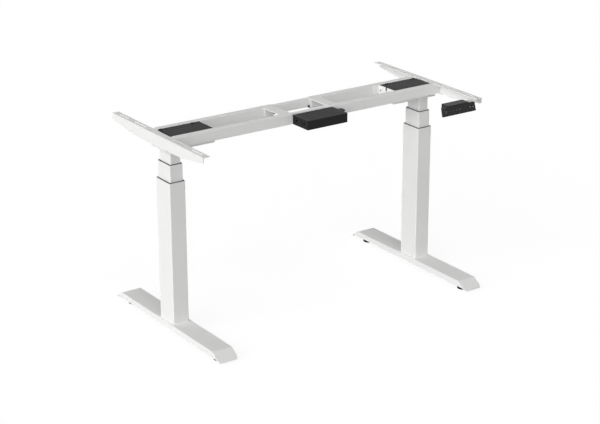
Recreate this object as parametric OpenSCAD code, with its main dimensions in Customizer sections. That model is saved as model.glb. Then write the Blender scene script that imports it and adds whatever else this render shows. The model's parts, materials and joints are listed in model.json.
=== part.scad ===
// Electric standing desk frame: two feet, two three-stage columns, a beam that pulls out
// to the width of the table top, side brackets, a control box and a handset.
// X runs along the beam, -Y is the user's side, Z is up, and the floor is at Z = 0.

/* [Frame] */
// Width over the side brackets when the beam is pushed fully together
closed_w = 1169; // [1169:1:1400]
// How far each half of the beam is pulled out
pull_out = 0; // [0:1:260]
// How far each column stage stands above its lowest place
stage_out = 50; // [0:5:325]
// Travel of each column stage
stage_travel = 325; // [250:5:325]

/* [Feet] */
// Length of a foot, front to back
foot_l = 700; // [560:5:900]
// Width of a foot
foot_w = 78; // [66:1:100]
// Height of the foot's channel
foot_h = 30; // [26:0.5:40]
// Gap between the floor and the tips of the noses
foot_clear = 12.5; // [12:0.5:25]
// How much higher than the tips the lower edge of the skirt lies
skirt_up = 9; // [3:0.5:12]
// Sheet thickness of the foot
foot_t = 2.5; // [1.5:0.5:4]
// Length of the sloping nose
nose_l = 42; // [20:0.5:80]
// Height of the upright edge at the tip of the nose
nose_edge = 2; // [1:0.5:6]
// Corner radius of the nose, seen from above
nose_r = 13; // [4:1:20]

/* [Levelling feet] */
// Diameter of the pad
pad_d = 40; // [24:1:50]
// Height of the pad
pad_h = 9; // [5:0.5:10]
// Thickness of the pad's edge
pad_edge_h = 5; // [2:0.5:8]
// Diameter of the stud's thread
stud_d = 10; // [6:1:12]
// Length of stud above the pad
stud_l = 24; // [18:1:24]
// Distance from the foot's end to the stud
leveller_in = 60; // [50:1:80]

/* [Columns] */
// Distance from the outside of a side bracket to the column's middle
leg_in = 52; // [45:1:90]
// Outer tube, across the foot
outer_w = 61.5; // [58:0.5:64]
// Outer tube, along the foot
outer_d = 90; // [88:0.5:110]
// Length of the outer tube
outer_l = 516; // [516:1:560]
// Middle tube, across the foot
middle_w = 50.5; // [48:0.5:51]
// Middle tube, along the foot
middle_d = 80.5; // [78:0.5:81]
// Height of the middle tube's lower end over the foot, at the lowest place
middle_over_foot = 21.5; // [21:0.5:38]
// Inner tube, across the foot
inner_w = 40; // [38:0.5:41]
// Inner tube, along the foot
inner_d = 71; // [66:0.5:72]
// Height of the inner tube's lower end over the foot, at the lowest place
inner_over_foot = 56.5; // [51.5:1:71.5]
// Wall thickness of the three tubes
tube_wall = 1.8; // [1.2:0.1:2]
// Corner radius of the three tubes
tube_r = 3; // [2.5:0.5:6]
// Height of a collar's rim on top of its tube
collar_rim = 2; // [1:0.5:4]
// How far the rim stands back from the tube's outside
rim_in = 0.9; // [0.2:0.1:1.2]
// Length of a collar inside its tube
collar_l = 45; // [20:1:80]
// Middle tube left showing at the lowest place
middle_show = 10; // [2:0.5:20]
// Inner tube left showing at the lowest place
inner_show = 1.5; // [1:0.5:20]
// Gap between a sliding tube and its glides
glide_gap = 0.4; // [0.3:0.05:0.6]

/* [Lifting screws] */
// Thickness of the column's end plate
end_plate_t = 10; // [6:1:12]
// Outside of the screw that stands on the end plate
fixed_d = 14; // [13:0.5:15]
// Bore of the screw that stands on the end plate
fixed_bore = 10.6; // [10.6:0.1:11]
// Outside of the turning hollow screw
hollow_d = 22; // [20:0.5:24]
// Bore of the hollow screw above its thread
hollow_bore = 16; // [16:0.5:17]
// Length of the thread inside the hollow screw
inside_thread_l = 22; // [14:1:30]
// Diameter of the hollow screw's collar
screw_collar_d = 32; // [28:1:34]
// Thickness of the hollow screw's collar
screw_collar_t = 4; // [3:0.5:6]
// Drive shaft, across its flats
shaft_af = 8; // [7:0.5:8]
// Drive shaft's round journal in the gearbox
journal_d = 10; // [9:0.5:10]
// Shaft left inside the hollow screw's socket at full height
shaft_grip = 25; // [15:1:30]
// Thickness of a sliding block below its tube
block_t = 8; // [6:0.5:10]
// Length of a block's plug inside its tube
plug_l = 20; // [12:1:30]
// Radial gap of threads, journals and screws in their bores
thread_gap = 0.1; // [0.05:0.01:0.15]

/* [Beam] */
// Depth of the beam over its two rails
beam_w = 142; // [136:1:180]
// Width of an outer rail
rail_w = 23; // [20:0.5:26]
// Height of an outer rail
rail_h = 38; // [34:0.5:42]
// Wall thickness of all rails
rail_wall = 1.5; // [1:0.1:2]
// Corner radius of an outer rail
rail_r = 2; // [1.6:0.1:3]
// Half the gap between the two half frames when the beam is pushed together
centre_gap = 78; // [78:0.5:120]
// Distance from the bracket's outside to the rail's lower end
rail_end_in = 27; // [26.5:0.5:34]
// How much further back the rail's upper end lies
rail_end_slant = 6.5; // [0:0.5:12]
// Width of the plate that joins the rails' inner ends
cross_w = 43; // [30:1:80]
// Thickness of that plate
cross_t = 3; // [2:0.5:4]
// Width of its two tabs, which are bent down along the rails
cross_tab_w = 34; // [20:1:40]
// Height of those tabs
cross_tab_h = 32; // [10:0.5:34]
// Hole in the middle of that plate
cross_hole_d = 6; // [4:0.5:10]
// How far the inner rails end inside the outsides of the brackets, pushed together
inner_rail_in = 141.5; // [138:0.5:180]
// How much higher than the outer rail's inside the inner rail starts
inner_rail_up = 4.7; // [0:0.1:8]
// Gap between inner and outer rail on each side
slide_gap = 0.3; // [0.3:0.05:0.5]

/* [Motor housings] */
// Height of the beam's top above the housing's underside
housing_rise = 52.5; // [49:0.5:60]
// Sheet thickness of the housing
housing_t = 2; // [1.5:0.1:2.5]
// Distance from the bracket's outside to the housing's outer end
housing_in = 8.5; // [5:0.5:20]
// Length of the housing
housing_l = 192; // [190:1:220]
// Chamfer at the bottom of the outer end
housing_chamfer = 1.5; // [1:0.5:10]
// Length of the tabs along the rails
tab_l = 20; // [10:1:40]
// Thickness of the motor cover
cover_t = 2; // [1:0.1:3]
// How far the cover lies below the top of the beam
cover_drop = 1.5; // [1:0.1:2]
// Gap between the cover and the housing's inner end
cover_in = 2.3; // [2.3:0.1:10]
// Length of the motor cover
cover_l = 164; // [150:1:165]
// Diameter of the motor
motor_d = 42; // [34:1:44]
// Length of the motor
motor_l = 96; // [70:1:98]
// Gearbox, along the beam
gearbox_l = 60; // [50:1:64]
// Gearbox, across the beam
gearbox_w = 66; // [56:1:80]
// Height of the gearbox
gearbox_h = 40; // [36:1:44]

/* [Side brackets] */
// Length of a side bracket
bracket_l = 600; // [500:5:750]
// Width of the flange on which the table top lies
flange_w = 26.4; // [24:0.2:40]
// Thickness of the bracket
bracket_t = 2.5; // [2:0.1:3]
// Depth of the web at its middle
web_h = 40.6; // [38:0.2:46]
// Depth of the web at its ends
web_end_h = 21; // [12:0.5:30]
// Distance from the bracket's middle at which the web starts to narrow
web_kink = 152; // [100:1:200]
// Corner radius at the web's ends
web_end_r = 6; // [1:0.5:10]
// Distance from the bracket's outside to the line of slots
slot_in = 14.6; // [12:0.1:18]
// Width of the slots and diameter of the holes
slot_w = 7; // [5:0.5:8]
// Length of the outer slots
outer_slot_l = 66; // [30:1:80]
// Middle of the outer slots, from the bracket's middle
outer_slot_y = 239; // [200:1:260]
// Length of the inner slots
inner_slot_l = 76; // [30:1:90]
// Middle of the inner slots, from the bracket's middle
inner_slot_y = 129; // [110:1:150]
// Single holes, from the bracket's middle
hole_y = 56; // [40:1:70]
// Length of the lug inside the outer rail
lug_l = 62; // [40:1:70]

/* [Control box] */
// Length of the control box
control_l = 171; // [160:1:220]
// Depth of the control box
control_w = 93; // [80:1:120]
// Height of the control box
control_h = 33.5; // [28:0.5:36]
// Wall thickness of the control box
control_wall = 2.5; // [2:0.1:3]
// Corner radius of the control box
control_r = 5; // [3:0.5:8]
// Place of the control box's middle along the beam
control_x = 5; // [0:1:10]
// How far the control box lies below the top of the beam
control_drop = 3; // [2:0.5:5]
// Border around the lid
lid_border = 7; // [6:0.5:12]
// Border between the lid and the two ends
lid_end_border = 13; // [10:0.5:20]
// Width of a cable socket
socket_w = 7; // [6:0.5:9]
// Distance between the two cable sockets
socket_pitch = 46; // [36:1:50]
// Length of the ear at the right end
ear_l = 16; // [10:1:24]
// Width of that ear
ear_w = 30; // [20:1:40]

/* [Handset] */
// Length of the handset
handset_l = 149.5; // [140:0.5:170]
// Height of the handset's face
face_h = 32.4; // [30:0.2:40]
// Backward lean of the face
face_tilt = 11.5; // [5:0.5:20]
// Thickness at the lower edge
low_t = 8; // [7:0.5:10]
// Thickness at the upper edge
high_t = 13; // [12:0.5:18]
// How much the upper edge is shorter than the lower one at each end
face_taper = 2.9; // [0:0.1:6]
// Distance from the bracket's outside to the handset's right end
handset_in = 43; // [40:1:60]
// How far the handset's face stands in front of the bracket
handset_out = 19.5; // [10:0.5:25]
// Depth of the front shell
shell_d = 5; // [4.6:0.2:6]
// Wall thickness of the handset
handset_wall = 2; // [1.6:0.1:2.4]
// Length of the mounting block
block_l = 95; // [80:1:120]
// Depth of the mounting block
block_d = 38; // [30:1:50]
// Height of the mounting block
block_h = 15.5; // [12:0.5:20]
// Width of a key
key_w = 9.6; // [8:0.2:11]
// Height of a key
key_h = 7.6; // [6:0.2:9]
// Distance between neighbouring keys
key_pitch = 14.6; // [13:0.1:15]
// First key, from the handset's left end
key_in = 18; // [16:0.5:22]
// Keys above the face's lower edge
key_up_z = 16.5; // [14:0.5:20]
// Lifting keys: place of the last one from the handset's right end
lift_key_in = 12; // [11.5:0.5:16]
// How far a key stands out of the face
key_proud = 0.4; // [0.2:0.1:1]
// Travel of a key
key_travel = 0.5; // [0.3:0.1:0.6]
// Gap around a key
key_gap = 0.3; // [0.2:0.05:0.4]

/* [Screws] */
// Column bolt
column_bolt_d = 8; // [6:1:10]
// Distance of the column bolts across the foot
column_bolt_x = 32; // [28:1:36]
// Distance of the column bolts along the foot
column_bolt_y = 60; // [50:1:70]
// Bolt between rail and bracket
rail_bolt_d = 6; // [5:1:6]
// Cover screw
cover_screw_d = 5; // [4:1:5]
// Head of a cover screw
cover_head_d = 12; // [9:0.5:12]
// Screws of the control box, the stops and the handset
small_screw_d = 4; // [3:0.5:4]
// Clearance of a screw in its hole, on the diameter
screw_clear = 0.4; // [0.2:0.1:1]

/* [Hidden] */
$fn = 48;

white = "#e8e8e4";
black = "#2b2b2d";
dark_plastic = "#4a4b4d";
steel = "#b4b8bc";
brass = "#b8964e";
board_green = "#2f6b46";

// Added to cuts so that they pass right through
overrun = 1;
// Welded pieces sink this far into each other
weld = 0.5;

// Places along the beam
half_frame_l = closed_w / 2 - centre_gap;
half_w = closed_w / 2 + pull_out;
leg_x = half_w - leg_in;
frame_in = centre_gap + pull_out;
inner_rail_l = closed_w - 2 * inner_rail_in;

// Heights of the feet and columns
foot_top = foot_clear + foot_h;
outer_top = foot_top + outer_l;
middle_l = outer_l + collar_rim + middle_show - middle_over_foot;
middle_top = outer_top + collar_rim + middle_show + stage_out;
middle_bot = middle_top - middle_l;
inner_l = middle_l + middle_over_foot + collar_rim + inner_show - inner_over_foot;
housing_z = middle_top + collar_rim + inner_show + stage_out;
inner_bot = housing_z - inner_l;
beam_top = housing_z + housing_rise;
rail_z = beam_top - rail_h;

// Feet: the inside of the sloping nose runs parallel to its outside
nose_slope = atan((foot_h - nose_edge) / nose_l);
cavity_l = foot_l - 2 * foot_t / sin(nose_slope);
cavity_nose_l = nose_l + foot_t * tan(nose_slope / 2) - foot_t / sin(nose_slope);
skirt_end_y = cavity_l / 2 - cavity_nose_l * (skirt_up - nose_edge) / (foot_h - foot_t - nose_edge);
weld_nut_d = 1.8 * stud_d;
weld_nut_z = 6;
stud_room_z = pad_h + stud_l + 3.5 - foot_clear;
leveller_y = foot_l / 2 - leveller_in;
bolt_head_share = 1.6;
bolt_head_h_share = 0.6;

// Lifting screws: what is left of the travel above this place
stage_left = stage_travel - stage_out;
hollow_drop = block_t / 2;
hollow_bot = middle_bot - hollow_drop;
inner_block_bot = inner_bot - block_t;
hollow_l = inner_block_bot - hollow_bot + stage_left + block_t + plug_l;
fixed_top = hollow_bot + stage_left + inside_thread_l;
socket_gap = 3;
socket_bot = fixed_top + stage_out + socket_gap;
shaft_bot = hollow_bot + hollow_l - shaft_grip - stage_left;
hex_share = 2 / sqrt(3);
shaft_gap = 2 * thread_gap;
shaft_hole_d = journal_d + 6 * screw_clear;
collar_gap = 0.3;

// Beam
rail_y = beam_w / 2 - rail_w / 2;
housing_w = beam_w - 2 * rail_w;
inner_rail_w = rail_w - 2 * rail_wall - 2 * slide_gap;
lug_h = rail_h - 2 * rail_wall - 2 * slide_gap;
lug_z = rail_z + rail_wall + slide_gap;
inner_rail_h = lug_h - inner_rail_up;
inner_rail_z = lug_z + inner_rail_up;
inner_rail_r = rail_r - rail_wall + slide_gap;
rail_bolt_x = half_w - bracket_t - lug_l * 0.72;
stop_head_d = 8;
stop_head_h = 3;
stop_x = centre_gap - collar_gap - stop_head_d / 2;
stop_z = inner_rail_z + rail_wall + small_screw_d / 2;
stop_l = 7;

// Motor housing
housing_x1 = half_w - housing_in;
housing_x0 = housing_x1 - housing_l;
housing_top = beam_top - cover_drop - cover_t;
end_wall_top = beam_top - cover_drop / 2;
floor_z = housing_z + housing_t;
cover_x = housing_x0 + cover_in;
cover_fit = 0.7;
screw_x_shares = [0.19, 0.94];
ear_size = cover_head_d + 3;
ear_in = cover_head_d + cover_fit + 1.5;
cover_screw_y = housing_w / 2 - cover_head_d / 2 - cover_fit;
cover_screw_l = 12;
notch_w = 8;
notch_h = 12;
slit_l = 10;
slit_w = 3.5;
slit_turn = 20;
slit_y = 33.5;
slit_drop = 19;
motor_z = floor_z + motor_d / 2 + collar_gap;
gearbox_r = 8;
gear_case_d = 0.82 * gearbox_w;
gear_case_extra = 2;
neck_d = 0.8 * motor_d;
neck_l = 8;
motor_x1 = leg_x - gearbox_l / 2 - neck_l;

// Side bracket
web_blend = 35;
web_steps = 8;
corner_steps = 5;
lug_wall = 2;
lug_end_x = half_w - bracket_t;

// Control box
control_y1 = -beam_w / 2 - 0.5;
control_y = control_y1 - control_w / 2;
control_x0 = control_x - control_l / 2;
control_x1 = control_x + control_l / 2;
control_top = beam_top - control_drop;
control_z = control_top - control_h;
lid_t = 2.4;
lid_gap = 0.3;
lid_lip = 2;
control_boss_x = 40;
control_boss_d = 10;
control_screw_z = control_z + control_h / 2;
control_screw_in = 9;
socket_z = control_z + 0.53 * control_h;
socket_d = 10;
panel_l = 30;
panel_h = 20;
panel_d = 1;
board_t = 1.6;
board_gap = 4;
board_z = control_z + control_wall + 5;
post_d = 6;
ear_t = 3;
ear_y = control_y1 - control_w / 2;
inlet_w = 24;
inlet_h = 16;
inlet_d = 14;
inlet_r = 5;
pin_d = 2.4;
pin_pitch = 9;
port_w = 9;

// Handset
handset_x0 = half_w - handset_in - handset_l;
handset_y = -bracket_l / 2 - handset_out;
handset_z = beam_top - bracket_t - face_h * cos(face_tilt);
block_y0 = handset_y + face_h * sin(face_tilt) + shell_d;
block_lip = 3.6;
hanger_x1 = half_w - bracket_t - 4;
hanger_t = 2;
hanger_d = 14;
hanger_y = -bracket_l / 2 + hanger_d / 2 + 1;
hanger_screw_x = half_w - slot_in;
key_flange = 0.8;
key_flange_t = 0.6;
key_r = 1.5;
handset_board_t = 1.2;
handset_board_y = handset_wall + key_gap + key_flange_t + key_travel + 0.3;
handset_board_in = 3;
handset_post_d = 3;
key_xs = concat([for (i = [0:4]) key_in + i * key_pitch],
  [for (i = [1, 0]) handset_l - lift_key_in - i * key_pitch]);

// A rectangle with round corners, around the origin
module round_rect(w, d, r) {
  square([w - 2 * r, d], center = true);
  square([w, d - 2 * r], center = true);
  for (x = [-1, 1], y = [-1, 1])
    translate([x * (w / 2 - r), y * (d / 2 - r)]) circle(r);
}

module round_bar(w, d, h, r) {
  linear_extrude(h) round_rect(w, d, r);
}

module round_tube(w, d, h, wall, r) {
  linear_extrude(h) difference() {
    round_rect(w, d, r);
    round_rect(w - 2 * wall, d - 2 * wall, max(r - wall, wall / 4));
  }
}

// An outline drawn in Y and Z, with its thickness along X
module along_x(l) {
  rotate([90, 0, 90]) linear_extrude(l) children();
}

// An outline drawn in X and Z, with its thickness along Y, around the middle
module across_y(w) {
  rotate([90, 0, 0]) linear_extrude(w, center = true) children();
}

// A straight slot with true round ends, cut downwards through a flange
module slot_cut(l, w, t) {
  translate([-w / 2, -(l - w) / 2, 0]) cube([w, l - w, t]);
  for (s = [-1, 1]) translate([0, s * (l - w) / 2, 0]) cylinder(d = w, h = t);
}

// A screw along +Z whose head starts at the origin and hangs below it
module screw(d, l, head_d, head_h) {
  cylinder(d = d, h = l);
  translate([0, 0, -head_h]) cylinder(d = head_d, h = head_h);
}

module left() {
  mirror([1, 0, 0]) children();
}

// Feet

module foot_block(l, w, h, nose, edge, r, down) {
  intersection() {
    translate([-w / 2, 0, 0]) along_x(w)
      polygon([[-l / 2, -down], [l / 2, -down], [l / 2, edge], [l / 2 - nose, h],
        [nose - l / 2, h], [-l / 2, edge]]);
    translate([0, 0, -down]) round_bar(w, l, h + down, r);
  }
}

module foot_bolt_places() {
  for (x = [-1, 1], y = [-1, 1])
    translate([x * column_bolt_x / 2, y * column_bolt_y / 2, 0]) children();
}

module foot() {
  color(white) translate([leg_x, 0, foot_clear]) difference() {
    union() {
      difference() {
        foot_block(foot_l, foot_w, foot_h, nose_l, nose_edge, nose_r, 0);
        foot_block(cavity_l, foot_w - 2 * foot_t, foot_h - foot_t, cavity_nose_l, nose_edge,
          nose_r - foot_t, overrun);
        // the skirt ends above the tips of the noses
        translate([-foot_w / 2 - overrun, 0, 0]) along_x(foot_w + 2 * overrun)
          polygon([[-cavity_l / 2, -overrun], [cavity_l / 2, -overrun], [cavity_l / 2, nose_edge],
            [skirt_end_y, skirt_up], [-skirt_end_y, skirt_up], [-cavity_l / 2, nose_edge]]);
      }
      intersection() {
        foot_block(foot_l, foot_w, foot_h, nose_l, nose_edge, nose_r, 0);
        for (s = [-1, 1])
          translate([0, s * leveller_y, weld_nut_z]) cylinder(d = weld_nut_d, h = foot_h);
      }
    }
    for (s = [-1, 1])
      translate([0, s * leveller_y, weld_nut_z - overrun])
        cylinder(d = stud_d + 2 * thread_gap, h = stud_room_z - weld_nut_z + overrun);
    foot_bolt_places()
      translate([0, 0, foot_h - foot_t - overrun])
        cylinder(d = column_bolt_d + screw_clear, h = foot_t + 2 * overrun);
  }
}

module column_bolts() {
  color(steel) translate([leg_x, 0, foot_top - foot_t]) foot_bolt_places()
    screw(column_bolt_d, foot_t + end_plate_t, bolt_head_share * column_bolt_d,
      bolt_head_h_share * column_bolt_d);
}

// s is -1 for the front pad and 1 for the rear one
module levelling_foot(s) {
  color(black) translate([leg_x, s * leveller_y, 0]) {
    cylinder(d = pad_d, h = pad_edge_h);
    translate([0, 0, pad_edge_h])
      cylinder(d1 = pad_d, d2 = weld_nut_d, h = pad_h - pad_edge_h);
    translate([0, 0, pad_h - weld]) cylinder(d = stud_d, h = stud_l + weld);
  }
}

// Columns

module outer_tube() {
  color(white) translate([leg_x, 0, foot_top])
    round_tube(outer_w, outer_d, outer_l, tube_wall, tube_r);
}

module middle_tube() {
  color(white) translate([leg_x, 0, middle_bot])
    round_tube(middle_w, middle_d, middle_l, tube_wall, tube_r);
}

module inner_tube() {
  color(white) translate([leg_x, 0, inner_bot])
    round_tube(inner_w, inner_d, inner_l, tube_wall, tube_r);
}

// Plastic collar in the top of a tube, in which the next tube slides
module collar(w, d, next_w, next_d) {
  difference() {
    union() {
      round_bar(w - 2 * rim_in, d - 2 * rim_in, collar_rim, tube_r);
      translate([0, 0, -collar_l])
        round_bar(w - 2 * tube_wall, d - 2 * tube_wall, collar_l, tube_r - tube_wall);
    }
    translate([0, 0, -collar_l - overrun])
      round_bar(next_w + 2 * glide_gap, next_d + 2 * glide_gap,
        collar_l + collar_rim + 2 * overrun, tube_r + glide_gap);
  }
}

module outer_collar() {
  color(dark_plastic) translate([leg_x, 0, outer_top])
    collar(outer_w, outer_d, middle_w, middle_d);
}

// Block under a sliding tube: it fills the tube's end and slides in the tube around it
module sliding_block(w, d, around_w, around_d) {
  difference() {
    union() {
      translate([0, 0, -block_t])
        round_bar(around_w - 2 * tube_wall - 2 * glide_gap,
          around_d - 2 * tube_wall - 2 * glide_gap, block_t, tube_r - tube_wall);
      round_bar(w - 2 * tube_wall, d - 2 * tube_wall, plug_l, tube_r - tube_wall);
    }
    translate([0, 0, -block_t - overrun])
      cylinder(d = hollow_d + 2 * thread_gap, h = block_t + plug_l + 2 * overrun);
  }
}

module middle_glides() {
  color(dark_plastic) translate([leg_x, 0, 0]) {
    translate([0, 0, middle_top]) collar(middle_w, middle_d, inner_w, inner_d);
    translate([0, 0, middle_bot]) sliding_block(middle_w, middle_d, outer_w, outer_d);
  }
}

module inner_nut_block() {
  color(brass) translate([leg_x, 0, inner_bot])
    sliding_block(inner_w, inner_d, middle_w, middle_d);
}

// Hollow screw that stands in the column's end plate
module fixed_screw() {
  color(steel) translate([leg_x, 0, foot_top]) difference() {
    union() {
      round_bar(outer_w - 2 * tube_wall, outer_d - 2 * tube_wall, end_plate_t,
        tube_r - tube_wall);
      cylinder(d = fixed_d, h = fixed_top - foot_top);
    }
    translate([0, 0, end_plate_t])
      cylinder(d = fixed_bore, h = fixed_top - foot_top);
    foot_bolt_places() translate([0, 0, -overrun])
      cylinder(d = column_bolt_d + 2 * thread_gap, h = end_plate_t + 2 * overrun);
  }
}

// Screw that turns in the middle stage: threaded inside below, six-sided socket above
module hollow_screw() {
  color(steel) translate([leg_x, 0, hollow_bot]) difference() {
    union() {
      cylinder(d = hollow_d, h = hollow_l);
      translate([0, 0, hollow_drop + plug_l + collar_gap])
        cylinder(d = screw_collar_d, h = screw_collar_t);
    }
    translate([0, 0, -overrun])
      cylinder(d = fixed_d + 2 * thread_gap, h = inside_thread_l + 2 * overrun);
    translate([0, 0, inside_thread_l])
      cylinder(d = hollow_bore, h = socket_bot - hollow_bot - inside_thread_l);
    translate([0, 0, inside_thread_l])
      cylinder(d = (shaft_af + 2 * shaft_gap) * hex_share, h = hollow_l, $fn = 6);
  }
}

module drive_shaft() {
  color(steel) translate([leg_x, 0, 0]) {
    translate([0, 0, shaft_bot])
      cylinder(d = shaft_af * hex_share, h = housing_z - shaft_bot, $fn = 6);
    translate([0, 0, housing_z - weld])
      cylinder(d = journal_d, h = housing_t + 0.8 * gearbox_h + weld);
  }
}

// Motor and gearbox

module gearbox() {
  color(black) translate([leg_x, 0, floor_z]) difference() {
    union() {
      round_bar(gearbox_l, gearbox_w, 0.7 * gearbox_h, gearbox_r);
      cylinder(d = gear_case_d, h = gearbox_h);
      translate([-gearbox_l / 2 - neck_l, 0, motor_z - floor_z]) rotate([0, 90, 0])
        cylinder(d = neck_d, h = gearbox_l / 2 + neck_l);
    }
    translate([0, 0, -overrun])
      cylinder(d = journal_d + 2 * thread_gap, h = 0.8 * gearbox_h + collar_gap + overrun);
  }
}

module motor() {
  color(dark_plastic) translate([motor_x1 - motor_l, 0, motor_z]) rotate([0, 90, 0]) {
    cylinder(d = 0.55 * motor_d, h = 0.06 * motor_l);
    translate([0, 0, 0.05 * motor_l]) cylinder(d = 0.93 * motor_d, h = 0.22 * motor_l);
    translate([0, 0, 0.26 * motor_l]) cylinder(d = motor_d, h = 0.7 * motor_l);
    translate([0, 0, 0.94 * motor_l]) cylinder(d = 0.9 * motor_d, h = 0.06 * motor_l);
  }
}

// Both cover screws are at the rear; in front the cover only rests on its ears
module cover_screw_places() {
  for (share = screw_x_shares) translate([cover_x + share * cover_l, cover_screw_y, 0]) children();
}

// Outline of the housing in X and Z, set in by its sheet thickness t
module housing_outline(t, top) {
  polygon([[housing_x0 + t, housing_z + t], [housing_x1 - housing_chamfer - t / 2, housing_z + t],
    [housing_x1 - t, housing_z + housing_chamfer + t / 2], [housing_x1 - t, top],
    [housing_x0 + t, top]]);
}

module motor_housing() {
  color(white) difference() {
    union() {
      difference() {
        across_y(housing_w) housing_outline(0, housing_top);
        across_y(housing_w - 2 * housing_t) housing_outline(housing_t, beam_top + overrun);
      }
      // inner end wall, a little higher than the seat of the cover
      translate([housing_x0, housing_t - housing_w / 2 - weld, housing_z])
        cube([housing_t, housing_w - 2 * housing_t + 2 * weld, end_wall_top - housing_z]);
      for (s = [-1, 1]) {
        translate([housing_x0 - tab_l, s * (housing_w - housing_t) / 2 - housing_t / 2, rail_z + rail_wall])
          cube([tab_l + housing_t, housing_t, end_wall_top - rail_z - rail_wall]);
      }
      for (share = screw_x_shares, turn = [0, 1])
        translate([cover_x + share * cover_l, 0, 0]) mirror([0, turn, 0])
          translate([-ear_size / 2, housing_w / 2 - housing_t / 2 - ear_in, housing_top - housing_t])
            cube([ear_size, ear_in, housing_t]);
    }
    cover_screw_places() translate([0, 0, housing_top - housing_t - overrun])
      cylinder(d = cover_screw_d + 2 * thread_gap, h = housing_t + 2 * overrun);
    // cable notch and fixing slot in the inner end wall
    translate([housing_x0 - overrun, -notch_w / 2, end_wall_top - notch_h])
      cube([housing_t + 2 * overrun, notch_w, notch_h + overrun]);
    translate([housing_x0 - overrun, slit_y, beam_top - slit_drop]) rotate([slit_turn, 0, 0])
      translate([0, -slit_w / 2, -slit_l / 2]) cube([housing_t + 2 * overrun, slit_w, slit_l]);
    // way through for the drive shaft
    translate([leg_x, 0, housing_z - overrun])
      cylinder(d = shaft_hole_d, h = housing_t + 2 * overrun);
  }
}

module motor_cover() {
  color(black) difference() {
    translate([cover_x + cover_l / 2, 0, housing_top])
      round_bar(cover_l, housing_w - 2 * cover_fit, cover_t, cover_t);
    cover_screw_places() translate([0, 0, housing_top - overrun])
      cylinder(d = cover_screw_d + screw_clear, h = cover_t + 2 * overrun);
  }
}

// Beam

module outer_rail(s) {
  color(white) difference() {
    intersection() {
      translate([frame_in, s * rail_y, rail_z + rail_h / 2]) along_x(half_frame_l)
        difference() {
          round_rect(rail_w, rail_h, rail_r);
          round_rect(rail_w - 2 * rail_wall, rail_h - 2 * rail_wall, rail_r - rail_wall);
        }
      across_y(2 * beam_w)
        polygon([[frame_in - overrun, rail_z - overrun], [half_w - rail_end_in, rail_z - overrun],
          [half_w - rail_end_in, rail_z], [half_w - rail_end_in - rail_end_slant, beam_top],
          [half_w - rail_end_in - rail_end_slant, beam_top + overrun],
          [frame_in - overrun, beam_top + overrun]]);
    }
    translate([rail_bolt_x, s * rail_y, rail_z - overrun])
      cylinder(d = rail_bolt_d + screw_clear, h = rail_wall + 2 * overrun);
  }
}

module cross_plate() {
  color(white) difference() {
    union() {
      translate([frame_in, -housing_w / 2, beam_top - cross_t])
        cube([cross_w, housing_w, cross_t]);
      for (turn = [0, 1]) mirror([0, turn, 0])
        translate([frame_in + (cross_w - cross_tab_w) / 2, housing_w / 2 - cross_t, beam_top - cross_tab_h])
          cube([cross_tab_w, cross_t, cross_tab_h - cross_t + weld]);
    }
    translate([frame_in + cross_w / 2, 0, beam_top - cross_t - overrun])
      cylinder(d = cross_hole_d, h = cross_t + 2 * overrun);
  }
}

module stop_screw_places(s) {
  for (x = [-1, 1])
    translate([x * stop_x, s * (rail_y - inner_rail_w / 2), stop_z]) rotate([-s * 90, 0, 0])
      children();
}

module control_screw_places() {
  for (x = [-1, 1])
    translate([x * control_boss_x, inner_rail_w / 2 - rail_y, control_screw_z])
      rotate([90, 0, 0]) children();
}

module inner_rail(s) {
  color(white) difference() {
    translate([-inner_rail_l / 2, s * rail_y, inner_rail_z + inner_rail_h / 2])
      along_x(inner_rail_l) difference() {
        round_rect(inner_rail_w, inner_rail_h, inner_rail_r);
        round_rect(inner_rail_w - 2 * rail_wall, inner_rail_h - 2 * rail_wall, inner_rail_r / 2);
      }
    stop_screw_places(s) translate([0, 0, -overrun])
      cylinder(d = small_screw_d + 2 * thread_gap, h = rail_wall + 2 * overrun);
    if (s < 0)
      control_screw_places() translate([0, 0, -overrun])
        cylinder(d = small_screw_d + screw_clear, h = inner_rail_w + 2 * overrun);
  }
}

module centre_screws() {
  color(black) {
    for (s = [-1, 1]) stop_screw_places(s) screw(small_screw_d, stop_l, stop_head_d, stop_head_h);
    control_screw_places()
      screw(small_screw_d, inner_rail_w + beam_w / 2 - rail_y - inner_rail_w / 2 + control_screw_in,
        0.8 * stop_head_d, 0.8 * stop_head_h);
  }
}

// Side bracket

// Lower edge of the web at distance y from the bracket's middle: level, a soft bend, straight
web_slope = (web_h - web_end_h) / (bracket_l / 2 - web_kink);
function web_edge(y) = beam_top - web_h + web_slope
  * (y < web_kink - web_blend ? 0 : y > web_kink + web_blend ? y - web_kink
    : pow(y - web_kink + web_blend, 2) / (4 * web_blend));
web_end_y = bracket_l / 2 - web_end_r;
web_edge_points = concat(
  [for (i = [0:web_steps]) let (y = web_kink + web_blend * (2 * i / web_steps - 1)) [y, web_edge(y)]],
  [for (i = [0:corner_steps]) let (a = 90 * i / corner_steps)
    [web_end_y + web_end_r * sin(a), web_edge(web_end_y) + web_end_r * (1 - cos(a))]]);

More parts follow.
